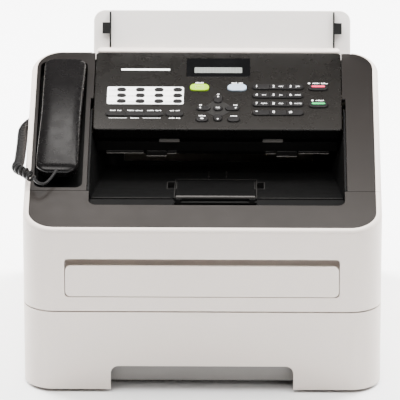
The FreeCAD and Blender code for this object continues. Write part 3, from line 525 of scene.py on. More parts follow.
def cord_sleeve(name):
    """Soft black sleeve with a dull, slightly rippled skin."""
    shader = Shader(name)
    ripple = shader.noise(420, 3, 0.6)
    shader.link(
        shader.mix(ripple, linear(17, 17, 17), linear(34, 33, 33)), shader.surface.inputs["Base Color"]
    )
    shader.link(shader.spread(ripple, 0.3, 0.7, 0.34, 0.5), shader.surface.inputs["Roughness"])
    shader.link(shader.bump(ripple, 0.05 * MM, 0.6), shader.surface.inputs["Normal"])
    return shader.material


def pale_floor(name):
    shader = Shader(name)
    tone = shader.noise(2, 3, 0.5)
    shader.link(
        shader.mix(tone, linear(250, 250, 250), linear(252, 252, 252)),
        shader.surface.inputs["Base Color"],
    )
    shader.set(Roughness=0.75)
    return shader.material


CASING = plastic("casing_plastic", linear(206, 196, 188), 0.48, mottle=0.012)
TRAY = plastic("tray_plastic", linear(240, 235, 230), 0.42, mottle=0.012, depth=0.012)
# Deck and panel plastics carry a painted sheen towards the front and painted shade below the deck surface.
DECK_DARK = painted_sheen_and_shade_plastic("deck_plastic", linear(34, 31, 29), linear(20, 18, 17), 0.36)
PANEL_DARK = painted_sheen_and_shade_plastic("panel_plastic", linear(34, 32, 30), linear(11, 10, 9), 0.28)
LINER = plastic("liner_plastic", linear(5, 5, 5), 0.5, depth=0.03, mottle=0.08)
HANDSET = plastic(
    "handset_plastic", linear(11, 10, 10), 0.27, grain=1400, depth=0.004, mottle=0.06, edge=0.15
)
SLEEVE = cord_sleeve("cord_sleeve")
PLUG = clear_plastic("plug_plastic")
INNER = plastic("inner_grey", linear(128, 125, 122), 0.55, mottle=0.04)
CHASSIS = brushed_metal("chassis", linear(176, 178, 180))
ROLLER = rubber("roller_rubber", linear(44, 44, 46))
DRUM = coated_drum("drum_coating")
BOARD = circuit_board("circuit_board")
GLASS = display_glass("screen_glass")
DARK_KEY = plastic("dark_key", linear(20, 19, 19), 0.4, grain=1600, depth=0.012, mottle=0.05, edge=0.3)
GREEN_KEY = plastic("green_key", linear(126, 166, 10), 0.4, grain=1600, depth=0.01, edge=0.3)
BLUE_KEY = plastic("blue_key", linear(140, 154, 168), 0.4, grain=1600, depth=0.01, edge=0.3)
WHITE_INK = print_ink("white_ink", linear(226, 226, 224))
GREY_INK = print_ink("grey_ink", linear(150, 150, 148))
CARD = print_ink("label_card", linear(232, 232, 230))
RED = plastic("red_inlay", linear(206, 40, 80), 0.42, grain=1600, depth=0.01, edge=0.2)
GREEN = plastic("green_inlay", linear(34, 150, 84), 0.42, grain=1600, depth=0.01, edge=0.2)
CELLS = display_cells("display_cells")
FLOOR = pale_floor("floor_white")
STEEL = brushed_metal("screw_steel", linear(150, 150, 152))
BRASS = brushed_metal("contact_brass", linear(206, 172, 96))
CHIP_BLACK = plastic("chip_black", linear(26, 27, 29), 0.5, grain=1500, depth=0.01, edge=0.2)

FINISHES = {
    "casing_plastic": CASING,
    "tray_plastic": TRAY,
    "deck_plastic": DECK_DARK,
    "liner_plastic": LINER,
    "handset_plastic": HANDSET,
    "cord_sleeve": SLEEVE,
    "plug_plastic": PLUG,
    "inner_grey": INNER,
    "chassis": CHASSIS,
    "roller_rubber": ROLLER,
    "drum_coating": DRUM,
    "circuit_board": BOARD,
    "screen_glass": GLASS,
    "dark_key": DARK_KEY,
    "green_key": GREEN_KEY,
    "blue_key": BLUE_KEY,
    "stop_key": DARK_KEY,
    "start_key": DARK_KEY,
}

for entry in frame["record"]["subparts"]:
    node = NODES[entry["node"]]
    node.data.materials.clear()
    node.data.materials.append(FINISHES[entry["material_slot"]])
NODES["control_panel"].data.materials[0] = PANEL_DARK
cord.data.materials.append(SLEEVE)


# Mesh helpers -------------------------------------------------------------------------------------

def rounded(width, height, radius, middle=(0, 0), steps=6):
    """A closed outline: a rectangle with round corners, in millimetres."""
    points = []
    corners = ((1, -1, -90), (1, 1, 0), (-1, 1, 90), (-1, -1, 180))
    for side_x, side_y, start in corners:
        for step in range(steps + 1):
            angle = math.radians(start + 90 * step / steps)
            points.append(
                (
                    middle[0] + side_x * (width / 2 - radius) + radius * math.cos(angle),
                    middle[1] + side_y * (height / 2 - radius) + radius * math.sin(angle),
                )
            )
    return points


def flat_mesh(name, outlines, thick, edge=0.0):
    """A plate on Z = 0 from closed outlines in millimetres; inner outlines are holes."""
    curve = bpy.data.curves.new(name, "CURVE")
    curve.dimensions = "2D"
    curve.fill_mode = "BOTH"
    curve.extrude = (thick / 2 - edge) * MM
    curve.bevel_depth = edge * MM
    curve.bevel_resolution = 2
    curve.offset = -edge * MM
    for outline in outlines:
        spline = curve.splines.new("POLY")
        spline.points.add(len(outline) - 1)
        for point, place in zip(spline.points, outline):
            point.co = (place[0] * MM, place[1] * MM, 0, 1)
        spline.use_cyclic_u = True
    holder = bpy.data.objects.new(name, curve)
    mesh = bpy.data.meshes.new_from_object(holder)
    bpy.data.objects.remove(holder)
    mesh.name = name
    mesh.transform(Matrix.Translation((0, 0, thick / 2 * MM)))
    return mesh


def text_mesh(words, size, thick=0.06):
    """Plain lettering on Z = 0, centred, with capitals about 0.7 of the size in height."""
    curve = bpy.data.curves.new("words", "FONT")
    curve.body = words
    curve.size = size * MM
    curve.extrude = thick / 2 * MM
    curve.align_x = "CENTER"
    curve.align_y = "CENTER"
    holder = bpy.data.objects.new("words", curve)
    mesh = bpy.data.meshes.new_from_object(holder)
    bpy.data.objects.remove(holder)
    mesh.transform(Matrix.Translation((0, 0, thick / 2 * MM)))
    return mesh


def add_piece(name, mesh, material, body, place=None, smooth=None):
    """Put a mesh in the scene as a piece that rides on a body."""
    if place is not None:
        mesh.transform(place)
    mesh.materials.clear()
    mesh.materials.append(material)
    piece = bpy.data.objects.new(name, mesh)
    bpy.context.scene.collection.objects.link(piece)
    if smooth is not None:
        for polygon in mesh.polygons:
            polygon.use_smooth = True
        mesh.set_sharp_from_angle(angle=math.radians(smooth))
    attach(piece, body)
    return piece


def joined(meshes):
    """Several meshes as one, each with its own transform already applied."""
    builder = bmesh.new()
    for mesh in meshes:
        builder.from_mesh(mesh)
        bpy.data.meshes.remove(mesh)
    result = bpy.data.meshes.new("joined")
    builder.to_mesh(result)
    builder.free()
    return result


def moved(mesh, across, along, proud=0.0):
    """A mesh shifted in its own plane, in millimetres."""
    mesh.transform(Matrix.Translation((across * MM, along * MM, proud * MM)))
    return mesh


def on_deck(proud):
    """The transform that lays a flat piece at a height over the deck."""
    return DECK @ Matrix.Translation((0, 0, proud * MM))


def circle(radius, count=24):
    """Corner points round a circle, in millimetres."""
    turns = [2 * math.pi * step / count for step in range(count)]
    return [(radius * math.cos(turn), radius * math.sin(turn)) for turn in turns]


def place_on(origin, right, up):
    """The transform that lays a flat piece on a plane through a point in the frame."""
    right = Vector(right).normalized()
    up = Vector(up).normalized()
    out = right.cross(up)
    matrix = Matrix((right, up, out)).transposed().to_4x4()
    return Matrix.Translation(Vector(origin)) @ matrix


# Control panel ------------------------------------------------------------------------------------

ONE_TOUCH_PITCH = (19.8, 10.25)
ONE_TOUCH_HOLE = (9.9, 6.9)
CARD_SIZE = (80.8, 30.9)
KEY_TOP = 1.4
INK = 0.05


def letter_blocks(middle, along, width, height=1.7):
    """Outlines that stand for a short printed word: small upright blocks of uneven size."""
    step = 1.5
    count = max(int(width / step), 1)
    start = middle - (count - 1) * step / 2
    outlines = []
    for index in range(count):
        if count > 6 and index == count // 2:
            continue
        tall = height * random.choice((1, 1, 0.78, 0.78, 0.7))
        wide = random.choice((0.95, 1.1, 0.8))
        base = along - height / 2 + tall / 2
        outlines.append(rounded(wide, tall, 0.22, (start + index * step, base), steps=2))
    return outlines


def card_with_holes(centre):
    """The white name card round the one-touch keys."""
    middle = (centre.x - 4.4, centre.y)
    outlines = [rounded(*CARD_SIZE, 2.2, middle)]
    for row in (-1, 0, 1):
        for column in (-1.5, -0.5, 0.5, 1.5):
            spot = (centre.x + column * ONE_TOUCH_PITCH[0], centre.y + row * ONE_TOUCH_PITCH[1])
            outlines.append(rounded(*ONE_TOUCH_HOLE, 3.2, spot))
    return flat_mesh("name_card", outlines, 0.3, 0.08)


def card_print(centre):
    """Grey rules and name marks on the card."""
    outlines = []
    for row in (-1, 0, 1):
        along = centre.y + row * ONE_TOUCH_PITCH[1]
        for column in (-1.5, -0.5, 0.5, 1.5):
            across = centre.x + column * ONE_TOUCH_PITCH[0] - 9.6
            outlines += letter_blocks(across, along - 0.6, 7.5, 1.1)
            outlines.append(rounded(8.4, 0.25, 0.1, (across, along - 2.4), steps=1))
    return flat_mesh("card_print", outlines, INK)


one_touch_centre = deck_centre("one_touch_keys")
add_piece(
    "name_card", card_with_holes(one_touch_centre), CARD, "control_panel", on_deck(0.0), smooth=40
)
add_piece("card_print", card_print(one_touch_centre), GREY_INK, "control_panel", on_deck(0.3))


def key_caption(node, across, along, width, height=1.7):
    """Outlines of a word printed beside a key."""
    centre = deck_centre(node)
    return letter_blocks(centre.x + across, centre.y + along, width, height)


def panel_print():
    """Every white caption and rule that is printed on the panel itself."""
    outlines = []
    outlines += key_caption("fax_key", 0, 8.9, 9.5, 2.1)
    outlines += key_caption("copy_key", 0, 8.9, 13, 2.1)
    outlines += key_caption("stop_key", 2.2, 8.7, 17.5)
    outlines += key_caption("start_key", 1.4, 8.7, 9.5)
    outlines += key_caption("up_key", 0, 9.6, 4)
    outlines += key_caption("left_key", -3.2, 6.6, 4)
    outlines += key_caption("right_key", 3.2, 6.6, 5)
    outlines += key_caption("clear_key", 0, 6.9, 8)
    outlines += key_caption("menu_key", 0, 6.9, 8)
    for node in ("stop_key", "start_key"):
        centre = deck_centre(node)
        shift = -9.6 if node == "stop_key" else -6.2
        outlines.append(rounded(2.4, 2.4, 1.19, (centre.x + shift, centre.y + 8.7)))
    functions = deck_centre("function_keys")
    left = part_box("function_keys")[0][0] / MM
    row = functions.y
    for across, width in ((left + 9.8, 13), (left + 30, 17), (left + 50.2, 15), (left + 71.9, 11)):
        outlines += letter_blocks(across, row + 6.7, width)
    outlines += letter_blocks(left + 30, row - 6.6, 9, 1.9)
    outlines += letter_blocks(left + 71.9, row - 6.6, 12.5, 1.9)
    for across in (left + 12.2, left + 47.8):
        outlines.append(rounded(19, 0.5, 0.2, (across, row - 6.6), steps=2))
    window = deck_centre("lcd_window")
    outlines.append(rounded(51.9, 3.3, 0.8, (window.x - 77.2, window.y - 4)))
    return flat_mesh("panel_print", outlines, INK)


add_piece("panel_print", panel_print(), WHITE_INK, "control_panel", on_deck(0.0))


def display():
    centre = deck_centre("lcd_window")
    return flat_mesh("display", [rounded(50.5, 9.8, 0.8, (centre.x, centre.y - 4.7))], 0.16, 0.04)


add_piece("display", display(), CELLS, "control_panel", on_deck(-0.1), 40)


def nav_backing():
    """A slightly raised diamond under the arrow keys, with holes where the keys come through."""
    centre = deck_centre("ok_key")
    outline = []
    for x, y in rounded(25, 25, 3):
        turned = Vector((x, y)) @ Matrix.Rotation(math.radians(45), 2)
        outline.append((centre.x + turned.x, centre.y + turned.y))
    holes = []
    for node in ("up_key", "down_key", "left_key", "right_key", "ok_key"):
        low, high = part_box(node)
        place = deck_centre(node)
        wide = (high[0] - low[0]) / MM + 1.2
        tall = {"up_key": 14.8, "down_key": 13.6, "left_key": 8.8, "right_key": 8.8, "ok_key": 10.2}[node]
        holes.append((place, wide, tall))
    piece = bpy.data.objects.new("nav_backing", flat_mesh("nav", [outline], 0.22, 0.06))
    bpy.context.scene.collection.objects.link(piece)
    for place, wide, tall in holes:
        plug = flat_mesh("plug", [rounded(wide, tall, min(wide, tall) * 0.46, (place.x, place.y))], 4)
        plug.transform(Matrix.Translation((0, 0, -2 * MM)))
        cutter = bpy.data.objects.new("cutter", plug)
        bpy.context.scene.collection.objects.link(cutter)
        step = piece.modifiers.new("hole", "BOOLEAN")
        step.object = cutter
        step.solver = "EXACT"
    bpy.context.view_layer.update()
    result = bpy.data.meshes.new_from_object(piece.evaluated_get(bpy.context.evaluated_depsgraph_get()))
    for item in [piece] + [m.object for m in piece.modifiers]:
        bpy.data.objects.remove(item)
    return result


NAV_GREY = plastic("nav_grey", linear(26, 25, 24), 0.4, grain=1500, depth=0.01, edge=0.2)
add_piece("nav_backing", nav_backing(), NAV_GREY, "control_panel", on_deck(0.0))


DIAL_WORDS = {
    "1": "", "2": "ABC", "3": "DEF", "4": "GHI", "5": "JKL", "6": "MNO",
    "7": "PQRS", "8": "TUV", "9": "WXYZ", "star": "", "0": "", "pound": "",
}
DIAL_SIGNS = {"star": "*", "pound": "#"}

for name, letters in DIAL_WORDS.items():
    centre = deck_centre(f"dial_key_{name}")
    sign = moved(text_mesh(DIAL_SIGNS.get(name, name), 5.4), centre.x - 4.6, centre.y + 0.3)
    parts = [sign]
    if letters:
        parts.append(moved(text_mesh(letters, 2.6), centre.x + 3.1, centre.y + 0.1))
    add_piece(f"legend_{name}", joined(parts), WHITE_INK, f"dial_key_{name}", on_deck(KEY_TOP))

ARROWS = {
    "up_key": (90, 0, 3.4), "down_key": (-90, 0, -3.2),
    "left_key": (180, -3.4, 0), "right_key": (0, 3.4, 0),
}
for node, (angle, across, along) in ARROWS.items():
    centre = deck_centre(node)
    outline = []
    for step in range(3):
        corner = math.radians(angle + 120 * step)
        outline.append(
            (centre.x + across + 1.3 * math.cos(corner), centre.y + along + 1.3 * math.sin(corner))
        )
    add_piece(f"arrow_{node}", flat_mesh("arrow", [outline], INK), WHITE_INK, node, on_deck(KEY_TOP))

ok_centre = deck_centre("ok_key")
add_piece(
    "legend_ok", moved(text_mesh("OK", 3.0), ok_centre.x, ok_centre.y), WHITE_INK, "ok_key",
    on_deck(KEY_TOP),
)
clear_centre = deck_centre("clear_key")
clear_mark = flat_mesh("mark", [rounded(3.4, 1.5, 0.6, (clear_centre.x, clear_centre.y + 0.4))], INK)
add_piece("mark_clear_key", clear_mark, WHITE_INK, "clear_key", on_deck(KEY_TOP))
for node, material in (("stop_key", RED), ("start_key", GREEN)):
    centre = deck_centre(node)
    stripe = flat_mesh("stripe", [rounded(14.2, 3.0, 1.4, (centre.x, centre.y + 1.5))], 0.25, 0.08)
    add_piece(f"stripe_{node}", stripe, material, node, on_deck(KEY_TOP - 0.1), 40)
for node in ("fax_key", "copy_key"):
    centre = deck_centre(node)
    rim = [rounded(9, 5.4, 1.2, (centre.x, centre.y)), rounded(8, 4.4, 0.8, (centre.x, centre.y))]
    mark = flat_mesh("mark", rim, INK)
    add_piece(f"mark_{node}", mark, GREY_INK, node, on_deck(KEY_TOP))


# Output basin and flap ----------------------------------------------------------------------------

FRAME_LOW, FRAME_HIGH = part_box("scanner_frame")
GAP_LOW, GAP_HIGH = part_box("control_panel")
FRAME_FACE = FRAME_LOW.y / MM
FRAME_UNDER = FRAME_LOW.z / MM
TAB_GREY = plastic("tab_grey", linear(120, 117, 114), 0.4, grain=1500, depth=0.01, edge=0.2)
# Paler grey for the flap's front bead, partly a painted highlight.
EDGE_HIGHLIGHT_GREY = plastic("edge_highlight_grey", linear(66, 64, 62), 0.32, grain=1500, depth=0.01, edge=0.2)
# Thin lines a little paler than the black basin: painted highlights along edges and seams.
PAINTED_EDGE_HIGHLIGHT = plastic("painted_edge_highlight", linear(34, 33, 32), 0.4, grain=1500, depth=0.01, edge=0.2)
LIP_DARK = plastic("lip_dark", linear(16, 15, 15), 0.3, grain=1500, depth=0.01, edge=0.3)


def front_bar(name, across, high, face, thick, material, body, edge=0.4):
    """A round-edged bar that faces the front, from its limits in millimetres."""
    width = across[1] - across[0]
    tall = high[1] - high[0]
    outline = rounded(width, tall, 0.35 * min(width, tall), steps=4)
    origin = Vector((sum(across) / 2, face + thick, sum(high) / 2)) * MM
    place = place_on(origin, (1, 0, 0), (0, 0, 1))
    mesh = flat_mesh(name, [outline], thick, min(edge, 0.3 * thick, 0.3 * tall))
    return add_piece(name, mesh, material, body, place, smooth=40)


for index, middle in enumerate((-36.2, 72.3)):
    high = (211.0, 214.8)
    front_bar(
        f"paper_tab_{index}", (middle - 10.7, middle + 10.7), high, FRAME_FACE - 1.3, 1.8, TAB_GREY,
        "casing",
    )

CHUTE_LIPS = (
    (-102.6, -62.8, 2.0), (-60.7, -38.6, 5.2), (-38.6, -28.1, 2.4),
    (64.2, 75.8, 2.4), (75.8, 98, 5.2), (99, 131.9, 2.0),
)
for index, (left, right, drop) in enumerate(CHUTE_LIPS):
    front_bar(
        f"chute_lip_{index}", (left, right), (FRAME_UNDER - drop, FRAME_UNDER + 0.6),
        FRAME_FACE + 2.2, 2.2, LIP_DARK, "casing",
    )
    front_bar(
        f"chute_lip_edge_{index}", (left + 0.5, right - 0.5),
        (FRAME_UNDER - drop - 0.3, FRAME_UNDER - drop + 0.4), FRAME_FACE + 1.9, 1.4, TAB_GREY,
        "casing", 0.2,
    )

SPLIT_ALONG = 68
LIP_DEEP = 9
FLOOR_FALL = math.radians(7.6)
BASIN_FLOOR = Matrix.Translation(
    (
        0,
        deck_point(0, SPLIT_ALONG, 0).y,
        deck_point(0, SPLIT_ALONG, 0).z - LIP_DEEP * MM * math.cos(SLOPE),
    )
) @ Matrix.Rotation(-FLOOR_FALL, 4, "X")
FLAP_MIDDLE, FLAP_WIDE, FLAP_LONG = 13, 84, 88
BASIN_MIDDLE, BASIN_WIDE = 14.5, 263.5


def on_floor(high):
    """The transform that lays a flat piece on the basin floor, measured back from the split."""
    return BASIN_FLOOR @ Matrix.Translation((0, 0, high * MM))


def ring(width, height, radius, line, middle):
    """Two outlines with a line's width between them."""
    inner = rounded(width - 2 * line, height - 2 * line, max(radius - line, 0.2), middle)
    return [rounded(width, height, radius, middle), inner]


def capsule(name, start, end, radius, sides=16, steps=5):
    """A rod with domed ends between two points, in metres."""
    start, end = Vector(start), Vector(end)
    ahead = (end - start).normalized()
    side = ahead.orthogonal().normalized()
    up = ahead.cross(side)
    rings = []
    for step in range(steps + 1):
        angle = math.pi / 2 * step / steps
        rings.append((start + ahead * radius * (1 - math.cos(angle)), radius * math.sin(angle)))
    for step in range(steps + 1):
        angle = math.pi / 2 * (1 - step / steps)
        rings.append((end - ahead * radius * (1 - math.cos(angle)), radius * math.sin(angle)))
    vertices, faces = [], []
    for middle, wide in rings:
        for corner in range(sides):
            turn = 2 * math.pi * corner / sides
            reach = max(wide, radius * 0.02)
            vertices.append(middle + reach * (math.cos(turn) * side + math.sin(turn) * up))
    for row in range(len(rings) - 1):
        for corner in range(sides):
            here, beside = row * sides + corner, row * sides + (corner + 1) % sides
            faces.append((here, beside, beside + sides, here + sides))
    faces.append(tuple(reversed(range(sides))))
    faces.append(tuple(range(len(vertices) - sides, len(vertices))))
    mesh = bpy.data.meshes.new(name)
    mesh.from_pydata([tuple(vertex) for vertex in vertices], [], faces)
    return mesh


def floor_point(across, back, high):
    return BASIN_FLOOR @ (Vector((across, back, high)) * MM)


# The bead is the flap's rounded front edge; its paler grey is partly a painted highlight.
flap_bead = capsule(
    "flap_bead",
    floor_point(FLAP_MIDDLE - FLAP_WIDE / 2 + 0.8, 2.4, 0.7),
    floor_point(FLAP_MIDDLE + FLAP_WIDE / 2 - 0.8, 2.4, 0.7),
    1.6 * MM,
)
add_piece("flap_bead", flap_bead, EDGE_HIGHLIGHT_GREY, "support_flap", smooth=60)
flap_centre = (FLAP_MIDDLE, FLAP_LONG / 2 + 1)
# Painted highlight: a thin pale ring along the edge of the flap's bed.
flap_line = ring(FLAP_WIDE + 1.6, FLAP_LONG + 1.6, 3.4, 0.7, flap_centre)
add_piece(
    "flap_bed_edge", flat_mesh("flap_bed_edge", flap_line, 0.3, 0.08), PAINTED_EDGE_HIGHLIGHT, "casing",
    on_floor(0.0), smooth=40,
)
for side in (-1, 1):
    label = "left" if side < 0 else "right"
    bed = (FLAP_MIDDLE + side * (FLAP_WIDE / 2 + 3.6), 60)
    # Painted highlight round each finger recess.
    finger_line = ring(10.6, 33.6, 1.6, 0.8, bed)
    add_piece(
        f"finger_edge_{label}", flat_mesh("finger_edge", finger_line, 0.3, 0.08), PAINTED_EDGE_HIGHLIGHT, "casing",
        on_floor(0.02), smooth=40,
    )
    far = BASIN_MIDDLE + side * (BASIN_WIDE / 2 - 3)
    near = FLAP_MIDDLE + side * (FLAP_WIDE / 2 + 4)
    # Painted highlight along the seam at the basin's front lip.
    lip_line = capsule(
        "lip_line", floor_point(min(near, far), 0.9, 0.15), floor_point(max(near, far), 0.9, 0.15),
        0.45 * MM,
    )
    add_piece(f"lip_line_{label}", lip_line, PAINTED_EDGE_HIGHLIGHT, "casing", smooth=60)
    gap_middle = (FRAME_LOW.x / MM - 3.6) if side < 0 else (FRAME_HIGH.x / MM + 3.6)
    front_bar(
        f"light_baffle_{label}", (gap_middle - 3.4, gap_middle + 3.4), (FRAME_UNDER - 1, FRAME_UNDER + 16),
        FRAME_FACE + 13, 1.6, LINER, "casing",
    )
    gap_edge = (GAP_LOW.x / MM - 0.1) if side < 0 else (GAP_HIGH.x / MM + 0.1)
    front_bar(
        f"gap_shade_{label}", sorted((gap_edge, gap_edge + 2.3 * side)), (226, 261.5), 113.5, 1.6, LINER,
        "casing",
    )
    rib = capsule(
        "rib", floor_point(14.6 + 9.2 * side, 98, 0.4), floor_point(14.6 + 9.2 * side, 124, 0.4), 1.1 * MM
    )
    add_piece(f"paper_rib_{label}", rib, LIP_DARK, "casing", smooth=60)


# Handset ------------------------------------------------------------------------------------------

HANDSET_ALONG = 192
HANDSET_MIDDLE = -149.5
HANDSET_YAW = math.radians(-1.1)
HANDSET_LONG = 198
HANDSET_WIDE = 44
SPLIT = 3.0
HANDSET_PLACE = (
    DECK
    @ Matrix.Translation((HANDSET_MIDDLE * MM, HANDSET_ALONG * MM, 0))
    @ Matrix.Rotation(HANDSET_YAW, 4, "Z")
)


def handset_width(along, corner=13):
    """Half the width at a distance along the handset, in millimetres."""
    half = HANDSET_WIDE / 2
    reach = HANDSET_LONG / 2 - corner
    waist = 1.1 * math.cos(math.pi * along / HANDSET_LONG) ** 2
    if abs(along) > reach:
        over = min(abs(along) - reach, corner)
        return half - corner + math.sqrt(corner * corner - over * over)
    return half - waist * (1 - abs(along) / reach) ** 0.5 if reach else half


def handset_rings(side):
    """Stations along one shell: distance along, half width, and height from the seam."""
    rings = []
    count = 96
    for index in range(count + 1):
        share = -math.cos(math.pi * index / count)
        along = share * HANDSET_LONG / 2 * 0.9995
        width = max(handset_width(along), 0.4)
        end = max(HANDSET_LONG / 2 - abs(along), 0)
        if side > 0:
            rise = 5.6 + 3.8 * math.cos(math.pi * along / HANDSET_LONG)
            height = rise * min(1, (1 - (1 - min(end / 9, 1)) ** 2) ** 0.5)
        else:
            cup = ease((abs(along) - 40) / 14) * (1 - 0.12 * ease((abs(along) - 84) / 14))
            height = (4.2 + 6.4 * cup) * min(1, (1 - (1 - min(end / 7, 1)) ** 2) ** 0.5)
        rings.append((along, width - (0 if side > 0 else 1.4), max(height, 0.05)))
    return rings


def handset_shell(name, side):
    """One shell: superellipse half sections whose flat rim meets the other shell at the seam."""
    steps = 26
    power = 2 / 4.2
    vertices, faces = [], []
    rings = handset_rings(side)
    for along, width, height in rings:
        for step in range(steps + 1):
            angle = math.pi * step / steps
            cosine, sine = math.cos(angle), math.sin(angle)
            across = width * math.copysign(abs(cosine) ** power, cosine)
            lift = height * abs(sine) ** power
            vertices.append((across * MM, along * MM, (SPLIT + side * (0.12 + lift)) * MM))
    row = steps + 1
    for ring in range(len(rings) - 1):
        for step in range(steps):
            here = ring * row + step
            quad = (here, here + row, here + row + 1, here + 1)
            faces.append(quad if side > 0 else tuple(reversed(quad)))
        rim = (ring * row, ring * row + steps, (ring + 1) * row + steps, (ring + 1) * row)
        faces.append(rim if side > 0 else tuple(reversed(rim)))
    first = tuple(range(row))
    last = tuple(range((len(rings) - 1) * row, len(rings) * row))
    faces.append(first if side > 0 else tuple(reversed(first)))
    faces.append(tuple(reversed(last)) if side > 0 else last)
    mesh = bpy.data.meshes.new(name)
    mesh.from_pydata(vertices, [], faces)
    return mesh


back_shell = add_piece(
    "handset_shell_back", handset_shell("handset_shell_back", 1), HANDSET, "handset",
    HANDSET_PLACE, 50,
)
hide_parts("handset_back")
front_shell = add_piece(
    "handset_shell_front", handset_shell("handset_shell_front", -1), HANDSET, "handset",
    HANDSET_PLACE, 50,
)
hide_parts("handset_front")


def sound_holes(name, along, rings):
    """A pattern of small holes in the face of a cup, drawn as flat near-black discs: painted shade in the
    openings.
    """
    outlines = []
    for ring in range(rings):
        count = max(ring * 6, 1)
        for index in range(count):
            angle = 2 * math.pi * index / count
            spot = (3.4 * ring * math.cos(angle), along + 3.4 * ring * math.sin(angle))
            outlines.append(rounded(1.7, 1.7, 0.84, spot, steps=3))
    mesh = flat_mesh(name, outlines, 0.3)
    mesh.transform(Matrix.Translation((0, 0, (SPLIT - 10.75) * MM)))
    return mesh


add_piece("ear_holes", sound_holes("ear_holes", 72, 4), LINER, "handset", HANDSET_PLACE)
add_piece("mouth_holes", sound_holes("mouth_holes", -72, 3), LINER, "handset", HANDSET_PLACE)


# Back, sides and inside ---------------------------------------------------------------------------

def screw(name, middle, out, body, radius=2.6):
    """A pan-head screw with a cross recess, seen from the side that the out direction names."""
    up = Vector((0, 0, 1)) if abs(Vector(out).z) < 0.9 else Vector((0, 1, 0))
    right = up.cross(Vector(out))
    outline = circle(radius)
    arm, half = radius * 0.62, radius * 0.16
    cross = [
        (arm, half), (half, half), (half, arm), (-half, arm), (-half, half), (-arm, half),
        (-arm, -half), (-half, -half), (-half, -arm), (half, -arm), (half, -half), (arm, -half),
    ]
    mesh = flat_mesh(name, [outline, cross], 1.0, 0.3)
    return add_piece(name, mesh, STEEL, body, place_on(Vector(middle) * MM, right, up), smooth=40)


BACK = REAR / MM
for index, (across, high) in enumerate(
    ((-165, 190), (165, 190), (-165, 90), (165, 90), (-90, 20), (90, 20), (0, 88))
):
    screw(f"rear_screw_{index}", (across, BACK - 0.2, high), (0, 1, 0), "casing")

for index, (across, high) in enumerate(((122, 41), (136, 41), (129, 49))):
    blade = rounded(2.2, 6.5, 0.6)
    place = place_on(Vector((across, 170.2, high)) * MM, (-1, 0, 0), (0, 0, 1))
    add_piece(f"inlet_pin_{index}", flat_mesh("pin", [blade], 7.5, 0.3), STEEL, "casing", place, smooth=40)

for row, low in enumerate((32, 48)):
    for index in range(4):
        across = -138.4 + index * 2.9
        wire = capsule(
            "contact",
            Vector((across, 170.4, low + 1.4)) * MM,
            Vector((across, 176.5, low + 4.2)) * MM,
            0.35 * MM,
            8,
        )
        add_piece(f"line_contact_{row}_{index}", wire, BRASS, "casing", smooth=60)

REAR_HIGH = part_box("rear_cover")[1]
latch_place = place_on((0, REAR_HIGH.y - 0.2 * MM, REAR_HIGH.z - 9 * MM), (-1, 0, 0), (0, 0, 1))
latch_lines = ring(64, 11, 5, 1.6, (0, 0))
add_piece(
    "rear_grip_rim", flat_mesh("rear_grip_rim", latch_lines, 0.9, 0.3), CASING, "rear_cover", latch_place,
    smooth=40,
)
ribs = [rounded(1.6, 7, 0.7, (across, 0), steps=3) for across in range(-26, 27, 4)]
add_piece(
    "rear_grip_ribs", flat_mesh("rear_grip_ribs", ribs, 0.8, 0.3), CASING, "rear_cover", latch_place,
    smooth=40,
)

BOARD_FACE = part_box("main_board")[1].x / MM
chips = ((-30, 150, 28, 28), (20, 160, 18, 12), (60, 132, 22, 22), (-40, 118, 12, 18), (100, 160, 16, 10))
for index, (along, high, wide, tall) in enumerate(chips):
    place = place_on(Vector((BOARD_FACE, along, high)) * MM, (0, 1, 0), (0, 0, 1))
    chip = flat_mesh("chip", [rounded(wide, tall, 0.8)], 2.2, 0.3)
    add_piece(f"board_chip_{index}", chip, CHIP_BLACK, "casing", place, smooth=40)
    legs = []
    for step in range(int(wide / 2)):
        for side in (-1, 1):
            legs.append(
                rounded(0.8, 1.6, 0.2, (step * 2 - wide / 2 + 1, side * (tall / 2 + 0.5)), steps=1)
            )
    add_piece(f"chip_legs_{index}", flat_mesh("legs", legs, 0.5), STEEL, "casing", place)
for index, high in enumerate((108, 126, 144, 166)):
    place = place_on(Vector((BOARD_FACE, 118, high)) * MM, (0, 1, 0), (0, 0, 1))
    add_piece(
        f"board_header_{index}", flat_mesh("header", [rounded(6, 12, 0.8)], 6, 0.5), CARD, "casing", place,
        smooth=40,
    )

DRUM_LOW, DRUM_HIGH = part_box("photoconductor_drum")
for side in (-1, 1):
    middle_y = (DRUM_LOW.y + DRUM_HIGH.y) / 2 / MM
    middle_z = (DRUM_LOW.z + DRUM_HIGH.z) / 2 / MM
    teeth = []
    for step in range(56):
        turn = 2 * math.pi * step / 56
        reach = 11.4 if step % 2 else 10.2
        teeth.append((reach * math.cos(turn), reach * math.sin(turn)))
    hole = circle(3.2)
    place = place_on(Vector((side * 126 - 2, middle_y, middle_z)) * MM, (0, 1, 0), (0, 0, 1))
    gear = flat_mesh("drum_gear", [teeth, hole], 4, 0.2)
    label = "left" if side < 0 else "right"
    add_piece(f"drum_gear_{label}", gear, INNER, "photoconductor_drum", place, smooth=40)

TONER_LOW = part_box("toner_cartridge")[0]
grip_place = place_on(Vector((0, TONER_LOW.y / MM + 0.1, 106)) * MM, (1, 0, 0), (0, 0, 1))
grip_ribs = [rounded(3, 8, 1, (across, 0), steps=3) for across in range(-24, 25, 8)]
add_piece(
    "toner_grip_ribs", flat_mesh("toner_grip_ribs", grip_ribs, 1.2, 0.4), BLUE_KEY, "casing",
    grip_place, smooth=40,
)

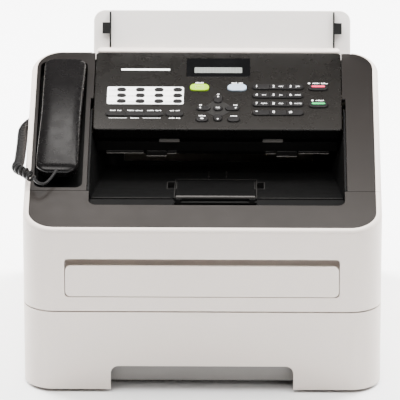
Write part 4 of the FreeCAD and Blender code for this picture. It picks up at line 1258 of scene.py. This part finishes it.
for index, (across, along) in enumerate(((-172, -120), (172, -120), (-172, 150), (172, 150))):
    pad = [circle(7.9, 36), circle(7.1, 36)]
    mesh = flat_mesh("foot_sleeve", pad, 2.6, 0.3)
    place = Matrix.Translation((across * MM, along * MM, 0.05 * MM))
    add_piece(f"foot_sleeve_{index}", mesh, ROLLER, "casing", place, smooth=40)


# Studio -------------------------------------------------------------------------------------------

def area_light(name, place, target, size, power, colour=(1, 1, 1), mirrored=True):
    """A soft box; one that isn't mirrored lights surfaces but gives them no reflection of itself."""
    data = bpy.data.lights.new(name, "AREA")
    data.shape = "RECTANGLE"
    data.size, data.size_y = size
    data.energy = power
    data.color = colour
    lamp = bpy.data.objects.new(name, data)
    lamp.location = place
    lamp.visible_glossy = mirrored
    lamp.rotation_euler = (Vector(place) - Vector(target)).to_track_quat("Z", "Y").to_euler()
    bpy.context.scene.collection.objects.link(lamp)


def studio():
    floor = bpy.data.meshes.new("floor")
    reach = 9
    floor.from_pydata(
        [(-reach, -reach, 0), (reach, -reach, 0), (reach, reach, 0), (-reach, reach, 0)],
        [],
        [(0, 1, 2, 3)],
    )
    floor.materials.append(FLOOR)
    plane = bpy.data.objects.new("floor", floor)
    plane.location.z = -0.0004
    bpy.context.scene.collection.objects.link(plane)
    world = bpy.data.worlds.new("studio")
    world.use_nodes = True
    sky = world.node_tree.nodes["Background"]
    sky.inputs["Color"].default_value = (1, 1, 1, 1)
    sky.inputs["Strength"].default_value = 0.07
    bpy.context.scene.world = world
    centre = (0, 0, 0.15)
    warm = (1, 0.97, 0.94)
    white = (1, 1, 1)
    area_light("key", (-0.5, -1.5, 2.3), centre, (1.6, 1.2), 26, warm)
    area_light("fill", (1.5, -1.9, 1.0), centre, (1.2, 1.2), 10, warm)
    area_light("top", (0, -0.2, 2.0), centre, (2.4, 1.6), 110, white, False)
    area_light("sheen", (0.12, 0.13, 0.66), (0.05, -0.15, 0.18), (0.4, 0.10), 0.5, warm)
    area_light("handset", (-0.15, 0.19, 0.63), (-0.15, -0.05, 0.24), (0.11, 0.13), 0.17, warm)
    area_light("rear", (0.9, 2.4, 0.7), centre, (1.0, 0.8), 12, white, False)
    for side in (-1, 1):
        above = (1.3 * side, 0.9, 1.3)
        area_light("backdrop", above, (0.35 * side, 0.9, 0), (0.9, 1.6), 200, white, False)


studio()
